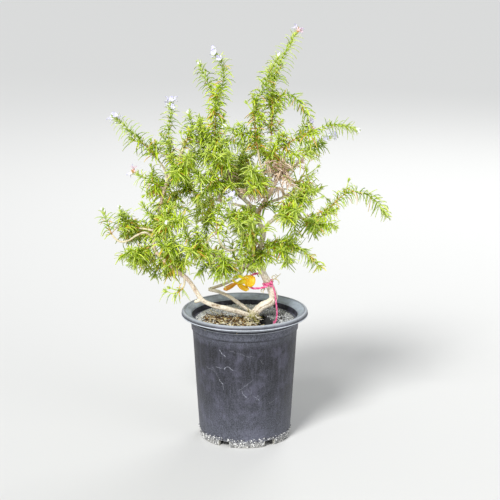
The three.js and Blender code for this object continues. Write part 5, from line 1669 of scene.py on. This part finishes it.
def rounded(profile, reach):
    """A profile with each corner turned into a small arc."""
    points = np.array(profile, float)
    made = [points[0]]
    for before, corner, after in zip(points, points[1:], points[2:]):
        back, ahead = before - corner, after - corner
        cut = min(reach, np.linalg.norm(back) * 0.45, np.linalg.norm(ahead) * 0.45)
        start, end = corner + unit(back) * cut, corner + unit(ahead) * cut
        for t in np.linspace(0, 1, 5):
            made.append((1 - t) ** 2 * start + 2 * t * (1 - t) * corner + t**2 * end)
    made.append(points[-1])
    return np.array(made)


def lathe(profile, facets):
    """Points and faces of a profile [radius, height] turned round the pot's axis."""
    angles = round_angles(facets)
    rings = [round_axis(angles, radius, height) for radius, height in profile[1:-1]]
    poles = [(0, 0, profile[0][1]), (0, 0, profile[-1][1])]
    return np.vstack([*rings, poles]), tube_faces(len(rings), facets)


def pot_blank():
    """The pot before its notches and holes: a turned wall with slight dents and a lumpy foot."""
    points, faces = lathe(rounded(POT_SECTION, 0.7), 180)
    angle = np.arctan2(points[:, 1], points[:, 0])
    radius, height = np.hypot(points[:, 0], points[:, 1]), points[:, 2].copy()
    lumpy = (radius > 58) & (height < 13)
    lumps_there = value_noise(np.stack([angle * 30, height / 1.6, radius / 4], 1))
    swell = 1.1 * (lumps_there - 0.35) * np.clip((11 - height) / 6, 0, 1)
    dents = 0.5 * (value_noise(round_axis(angle, 3, height / 60) + np.array([5, 5, 0])) - 0.5)
    on_wall = (height > PLAIN_WALL[0]) & (height < PLAIN_WALL[1])
    moved = radius + np.where(lumpy, swell, 0) + np.where(on_wall, dents, 0)
    points[:, :2] *= (moved / np.maximum(radius, 1e-6))[:, None]

    # Dust at the foot, on the collar and under it; painted highlights on edges; painted sheen inside
    # the rim; lime on the foot
    foot = np.exp(-height / 46) * 0.9
    collar = np.clip((height - COLLAR[0]) / 3, 0, 1) * (height < COLLAR[1])
    under = 0.35 * np.exp(-(((height - 144) / 5) ** 2)) * (height < COLLAR[0])
    dusty = np.clip(foot + 0.66 * collar + under, 0, 1) * (radius > 57)
    # Pale lines painted along the lip's edges and ridges as highlights
    painted_highlight = np.zeros(len(points))
    for at_radius, at_height, width, share in PAINTED_HIGHLIGHT_EDGES:
        near = np.exp(-((radius - at_radius) ** 2 + (height - at_height) ** 2) / width**2)
        painted_highlight = np.maximum(painted_highlight, share * near)
    # The rim's inner slope, painted paler as its sheen
    inside = (radius < 78) & (radius < 69.5 + (height - 165) * 1.6) & (height > 157.5)
    crust = np.clip((9.5 - height) / 4, 0, 1) * (radius > 54) * (0.3 + 0.7 * lumps_there)
    shape = Shape()
    shape.add(points, faces, shading(dusty, painted_highlight, inside, crust))
    return linked("pot_blank", shape.mesh("pot_blank"))


def pot_cutter():
    """Boxes for the notches through the foot ring, and round plugs for the drain holes."""
    shape = Shape()
    sides = DRAIN["sides"]
    k = np.arange(sides)
    plug_faces = [grid_faces(2, sides), k[::-1][None], (k + sides)[None]]
    box_faces = [np.array([(3, 2, 1, 0), (4, 5, 6, 7), (0, 1, 5, 4), (1, 2, 6, 5), (2, 3, 7, 6),
                           (3, 0, 4, 7)])]
    plug = np.vstack([round_axis(round_angles(sides), DRAIN["radius"], DRAIN[end])
                      for end in ("bottom", "top")])
    half_deep, half_wide, half_high = NOTCH["half"]
    for notch in range(NOTCH["count"]):
        out = round_axis(math.radians(NOTCH["first"] + notch * NOTCH["apart"]), 1, 0)
        side = np.array([-out[1], out[0], 0])
        box = [out * (NOTCH["radius"] + a * half_deep) + side * b * half_wide + UP * c * half_high
               for c in (-1, 1) for a, b in ((-1, -1), (1, -1), (1, 1), (-1, 1))]
        shape.add(box, box_faces)
        shape.add(plug + out * DRAIN["reach"], plug_faces)
    return linked("pot_cutter", shape.mesh("pot_cutter"))


def add_pot():
    """The pot as a piece, with its notches and holes cut through."""
    pot, cutter = pot_blank(), pot_cutter()
    cut = pot.modifiers.new("cut", "BOOLEAN")
    cut.object = cutter
    cut.operation = "DIFFERENCE"
    cut.solver = "EXACT"
    mesh = modified(pot)
    for made in (pot, cutter):
        bpy.data.objects.remove(made)
    mesh.name = "pot_moulding"
    add_piece("pot_moulding", mesh, [pot_paint()], "pot", ["pot"])
    mesh.polygons.foreach_set("use_smooth", np.ones(len(mesh.polygons), bool))
    mesh.set_sharp_from_angle(angle=math.radians(48))


def add_crust():
    """Lime and sand stuck to the pot's foot, left out at its notches."""
    rng = np.random.default_rng(8)
    count = COUNTS["crust"]
    angle = rng.uniform(0, 2 * math.pi, count)
    height = 1.3 + 11.5 * rng.uniform(0, 1, count) ** 1.6
    past_notch = (np.degrees(angle) - NOTCH["first"]) % NOTCH["apart"]
    from_notch = np.minimum(past_notch, NOTCH["apart"] - past_notch)
    kept = from_notch > np.where(height < 9.2, 8.6, 0)
    angle, height = angle[kept], height[kept]
    slope, sunk = 0.19, 0.1
    radius = NOTCH["radius"] + slope * height - sunk
    places = round_axis(angle, radius, height)
    shape = Shape()
    sizes = rng.uniform(0.7, 2.8, len(places))
    lumps(shape, places, sizes, rng, 0.9, rng.uniform(0, 1, len(places)))
    lime = crumb_paint("lime_crust", (0.0, tint(46, 47, 52)), (0.3, tint(128, 130, 134)),
                       (0.55, tint(212, 212, 210)), (1.0, tint(252, 252, 250)))
    add_piece("foot_crust", shape.mesh("foot_crust"), [lime], "pot")


def hollow_share(x, y):
    """How far a spot is down in the dark hollow at the front right, under the edge of a clod."""
    edge = 0.055 * np.clip(42 - x, 0, 21) ** 2 - 2
    ragged = 0.3 * (value_noise(np.stack([x / 5, y / 5, x * 0], -1)) - 0.5)
    away = np.hypot((x - 26) / 10.5, (y + 4) / 19) + ragged
    return soft_step(y - edge, 0.8) * soft_step(away - 1, 0.08)


def clod_reach(x, y):
    """How far a spot is from the middle of the dark clod behind the hollow: 1 is at its edge."""
    return np.hypot((x - 31) / 13, (y - 22) / 24)


def clod_share(x, y):
    """1 on the clod, and 0 off it."""
    return soft_step(clod_reach(x, y) - 1, 0.06)


def soil_height(x, y):
    """The height of the soil: mounded at the left, banked to the back, with a clod and a hollow."""
    mound = np.exp(-(((x + 28) / 26) ** 2) - ((y + 8) / 30) ** 2)
    bank = np.clip((y + 8) / 60, 0, 1)
    clod = np.sqrt(np.clip(1 - clod_reach(x, y) ** 2, 0, 1))
    raised = SOIL["mound"] * mound + SOIL["bank"] * bank + SOIL["clod"] * clod
    return SOIL["level"] + raised - SOIL["hollow"] * hollow_share(x, y)


def mulch_share(x, y):
    """How much of the surface is bark mulch: the front left, up to the root crown."""
    return soft_step(y + x * 0.2 - 4, 4) * soft_step(x - 14, 4) * soft_step(-50 - x, 3)


def add_soil():
    """The potting mix: a plug in the pot with a crumbly surface, and the loose bits on it."""
    facets, rings = 200, 66
    angles = round_angles(facets)
    reach = SOIL["radius"] * np.linspace(0, 1, rings + 1)[1:][::-1]
    x = reach[:, None] * np.cos(angles)
    y = reach[:, None] * np.sin(angles)
    place = np.stack([x, y, x * 0], -1)
    relief = 2.0 * value_noise(place / 5) + 1.2 * value_noise(place / 2.1 + 30) - 1.6
    z = soil_height(x, y) + relief * np.clip((SOIL["radius"] - reach[:, None]) / 3, 0, 1)
    surface = np.stack([x, y, z], -1).reshape(-1, 3)

    # The finish takes how much of a spot is mulch, how much is pale grit, and painted shade where it
    # lies deep in the hollow
    x, y = surface[:, 0], surface[:, 1]
    mulch, clod = mulch_share(x, y), clod_share(x, y)
    back = np.clip((y - 6 - 0.5 * np.maximum(x, 0)) / 14, 0, 1)
    pale = np.clip(back + np.clip((np.hypot(x, y) - 50) / 8, 0, 1), 0, 1)
    pale *= 1 - 0.35 * np.clip((x - 10) / 20, 0, 1)
    # The clod is painted paler than its grit, as painted light where the trunk's shadow falls on it
    pale = pale * (1 - clod) + 0.55 * clod
    gritty = pale * (1 - mulch) * (0.6 + 0.4 * value_noise(surface / 6 + 50))
    # Painted shade in the hollow, shifted back so that its far wall is dark too
    deep = np.clip(1.7 * hollow_share(x, y - 3), 0, 1)

    side, _ = lathe(np.array([(0, 11.5), (56.4, 11.5), (66.4, 147.0), (0, soil_height(0, 0))]), facets)
    points = np.vstack([side[:-2], surface, side[-2:]])
    plain = np.zeros((len(side), 4))
    values = np.vstack([plain[:-2], shading(mulch, gritty, deep, 0), plain[-2:]])
    shape = Shape()
    shape.add(points, tube_faces(rings + 2, facets), values)
    add_piece("potting_mix", shape.mesh("potting_mix"), [soil_paint()], "soil", ["soil"])
    add_mulch()
    add_grit()


def scattered(rng, count, share, radius=64.0):
    """Seeded spots on the soil, kept by a share of the place, clear of the root crown."""
    spots = []
    while len(spots) < count:
        x, y = rng.uniform(-radius, radius, 2)
        clear = math.hypot(x, y) < radius and math.hypot(x - ROOT["x"], y) > ROOT["clear"]
        if clear and rng.uniform() < share(x, y):
            spots.append((x, y))
    return np.array(spots)


def on_soil(rng, spots, lift):
    """Spots raised to the soil, with a lift that varies a little."""
    ground = soil_height(spots[:, 0], spots[:, 1]) + lift + rng.uniform(-0.5, 0.6, len(spots))
    return np.column_stack([spots, ground])


def icosahedron():
    """The twelve corners and twenty faces of a regular solid, at a radius of one."""
    gold = (1 + math.sqrt(5)) / 2
    corners = np.array([(a, b, 0) for a in (-1, 1) for b in (-gold, gold)])
    corners = np.vstack([np.roll(corners, turn, axis=1) for turn in range(3)]).astype(float)
    corners = unit(corners)
    distances = np.linalg.norm(corners[:, None] - corners[None], axis=2)
    edge = distances[distances > 0].min() * 1.05
    faces = []
    for a, b, c in itertools.combinations(range(12), 3):
        if max(distances[a, b], distances[b, c], distances[a, c]) < edge:
            normal = np.cross(corners[b] - corners[a], corners[c] - corners[a])
            faces.append((a, b, c) if normal @ corners[a] > 0 else (a, c, b))
    return corners, np.array(faces)


def swung(first, second, angle):
    """Two coordinates turned by an angle, one angle a row."""
    c, s = np.cos(angle)[:, None], np.sin(angle)[:, None]
    return first * c - second * s, first * s + second * c


def lumps(shape, places, sizes, rng, flatness, tones):
    """Loose bits of bark or stone: jittered twelve-cornered lumps, each turned at random."""
    corners, faces = icosahedron()
    count = len(places)
    jitter = rng.uniform(0.72, 1.2, (count, 12, 1))
    widths = sizes * rng.uniform(0.4, 0.8, count)
    heights = sizes * flatness * rng.uniform(0.6, 1.2, count)
    scale = np.stack([sizes, widths, heights], 1)
    bodies = corners[None] * jitter * scale[:, None] / 2
    yaw = rng.uniform(0, 2 * math.pi, count)
    tilt = rng.normal(0, 0.28, count)
    x, z = swung(bodies[..., 0], bodies[..., 2], tilt)
    x, y = swung(x, bodies[..., 1], yaw)
    points = np.stack([x, y, z], -1) + places[:, None]
    starts = (np.arange(count) * 12)[:, None, None]
    values = shading(0, 0, np.repeat(tones, 12), 0)
    shape.add(points, [(faces[None] + starts).reshape(-1, 3)], values)


def add_mulch():
    """Bark chips on the front left of the soil, with shed needles among them."""
    rng = np.random.default_rng(5)
    spots = scattered(rng, COUNTS["chips"], mulch_share)
    shape = Shape()
    lumps(shape, on_soil(rng, spots, 0.9), rng.uniform(2.0, 6.5, len(spots)), rng, 0.34,
          rng.uniform(0, 1, len(spots)))
    chips = crumb_paint("bark_chips", (0.0, tint(26, 17, 9)), (0.34, tint(84, 58, 28)),
                        (0.56, tint(164, 130, 68)), (0.76, tint(236, 222, 178)),
                        (0.92, tint(252, 248, 232)), (1.0, tint(214, 198, 60)))
    spots = scattered(rng, COUNTS["shed_needles"], mulch_share)
    count = len(spots)
    turn, lean = rng.uniform(0, 2 * math.pi, count), rng.uniform(-0.1, 0.35, count)
    aim = unit(round_axis(turn, 1, lean))
    blades(shape, on_soil(rng, spots, 2.0), aim, np.tile(UP, (count, 1)),
           rng.normal(0, 0.5, (count, 3)), rng.uniform(7, 13, count), np.full(count, 1.3),
           NEEDLE_OUTLINE, rng.uniform(0.3, 1, count), np.zeros(count))
    add_piece("mulch", shape.mesh("mulch"), [chips], "soil")


def grit_share(x, y):
    """How much of the surface has loose grit: little among the mulch, and none in the hollow."""
    return (1 - 0.92 * mulch_share(x, y)) * (1 - hollow_share(x, y))


def add_grit():
    """Loose grit: pale on the open soil, darker and finer on the clod."""
    rng = np.random.default_rng(6)
    spots = scattered(rng, COUNTS["grit"], grit_share, 65.0)
    count = len(spots)
    loose = clod_share(spots[:, 0], spots[:, 1]) < 0.5
    right = spots[:, 0] > 16
    pale = rng.uniform(0.48, 1, count) - 0.16 * right
    tones = np.where(loose, pale, rng.uniform(0.1, 0.66, count))
    sizes = rng.uniform(0.8, 2.6, count) * np.where(loose, 1.0, 0.7)
    shape = Shape()
    lumps(shape, on_soil(rng, spots, 0.4), sizes, rng, 0.75, tones)
    grit = crumb_paint("grit", (0.0, tint(40, 40, 42)), (0.35, tint(104, 108, 112)),
                       (0.5, tint(198, 203, 205)), (0.85, tint(252, 252, 250)),
                       (1.0, tint(226, 216, 190)))
    add_piece("grit", shape.mesh("grit"), [grit], "soil")


def add_sprig(knot, paints):
    """A dry, pale curl of a dead shoot beside the knot."""
    shape = Shape()
    start = knot + np.array([1.0, 4.0, 2.0])
    for bends in (
        [(0, 0, 0), (2.0, -1, 3.5), (5.5, -1.5, 5.5), (7.5, -1.5, 9), (5.0, -1, 11)],
        [(2.5, -1, 4), (0.5, -1.5, 7.5), (3.5, -2, 9.5), (6.0, -1.5, 7.0)],
        [(5, -1.5, 5), (8.5, -2.2, 3.0), (10.0, -1.8, -1.0), (8.5, -1.2, -3.0)],
        [(4, -1.2, 4.8), (8, -2, 8.5), (12, -2, 12)],
        [(-8.5, -4, -7), (-12, -5, -7.5), (-13.6, -5.5, -10.5), (-11.6, -5.5, -12.6)],
        [(-8.5, -4, -8), (-11.0, -5, -10.5), (-9.8, -5.5, -13.2)],
    ):
        line = Curve(start + np.array(bends), 12)
        tube(shape, line.even(16), np.linspace(0.8, 0.4, 16), 6, (0.8, 0.9, 0.3, 0))
    add_piece("dry_sprig", shape.mesh("dry_sprig"), [paints["bark"]], "bark")


# Assembly

add_camera()
paints = make_paints()
limb_curves = lay_limbs()
wrap_place = tie_place(limb_curves["trunk"])
knot_spot = wrap_place["knot"]

add_wrap(wrap_place, paints)
ribbon_piece, ribbon_area = add_ribbon(paints)
tail = tail_route(knot_spot)
add_cord("tie_end", "tie_tail", tail, TIE["tail_radius"], paints,
         [add_fray(tail, paints)])
add_cord("tie_slack", "tie_loop", loop_route(knot_spot), TIE["loop_radius"],
         paints, [ribbon_piece])

add_studio()
add_pot()
add_crust()
add_soil()
stem_plans = [plan_stem(i, stem, limb_curves) for i, stem in enumerate(STEMS)]
add_wood(limb_curves, [plan["foot"] for plan in stem_plans], paints)
for i, plan in enumerate(stem_plans):
    add_leafy_stem(i, plan, limb_curves, paints)
add_blooms(stem_plans, paints)
add_sprig(knot_spot, paints)
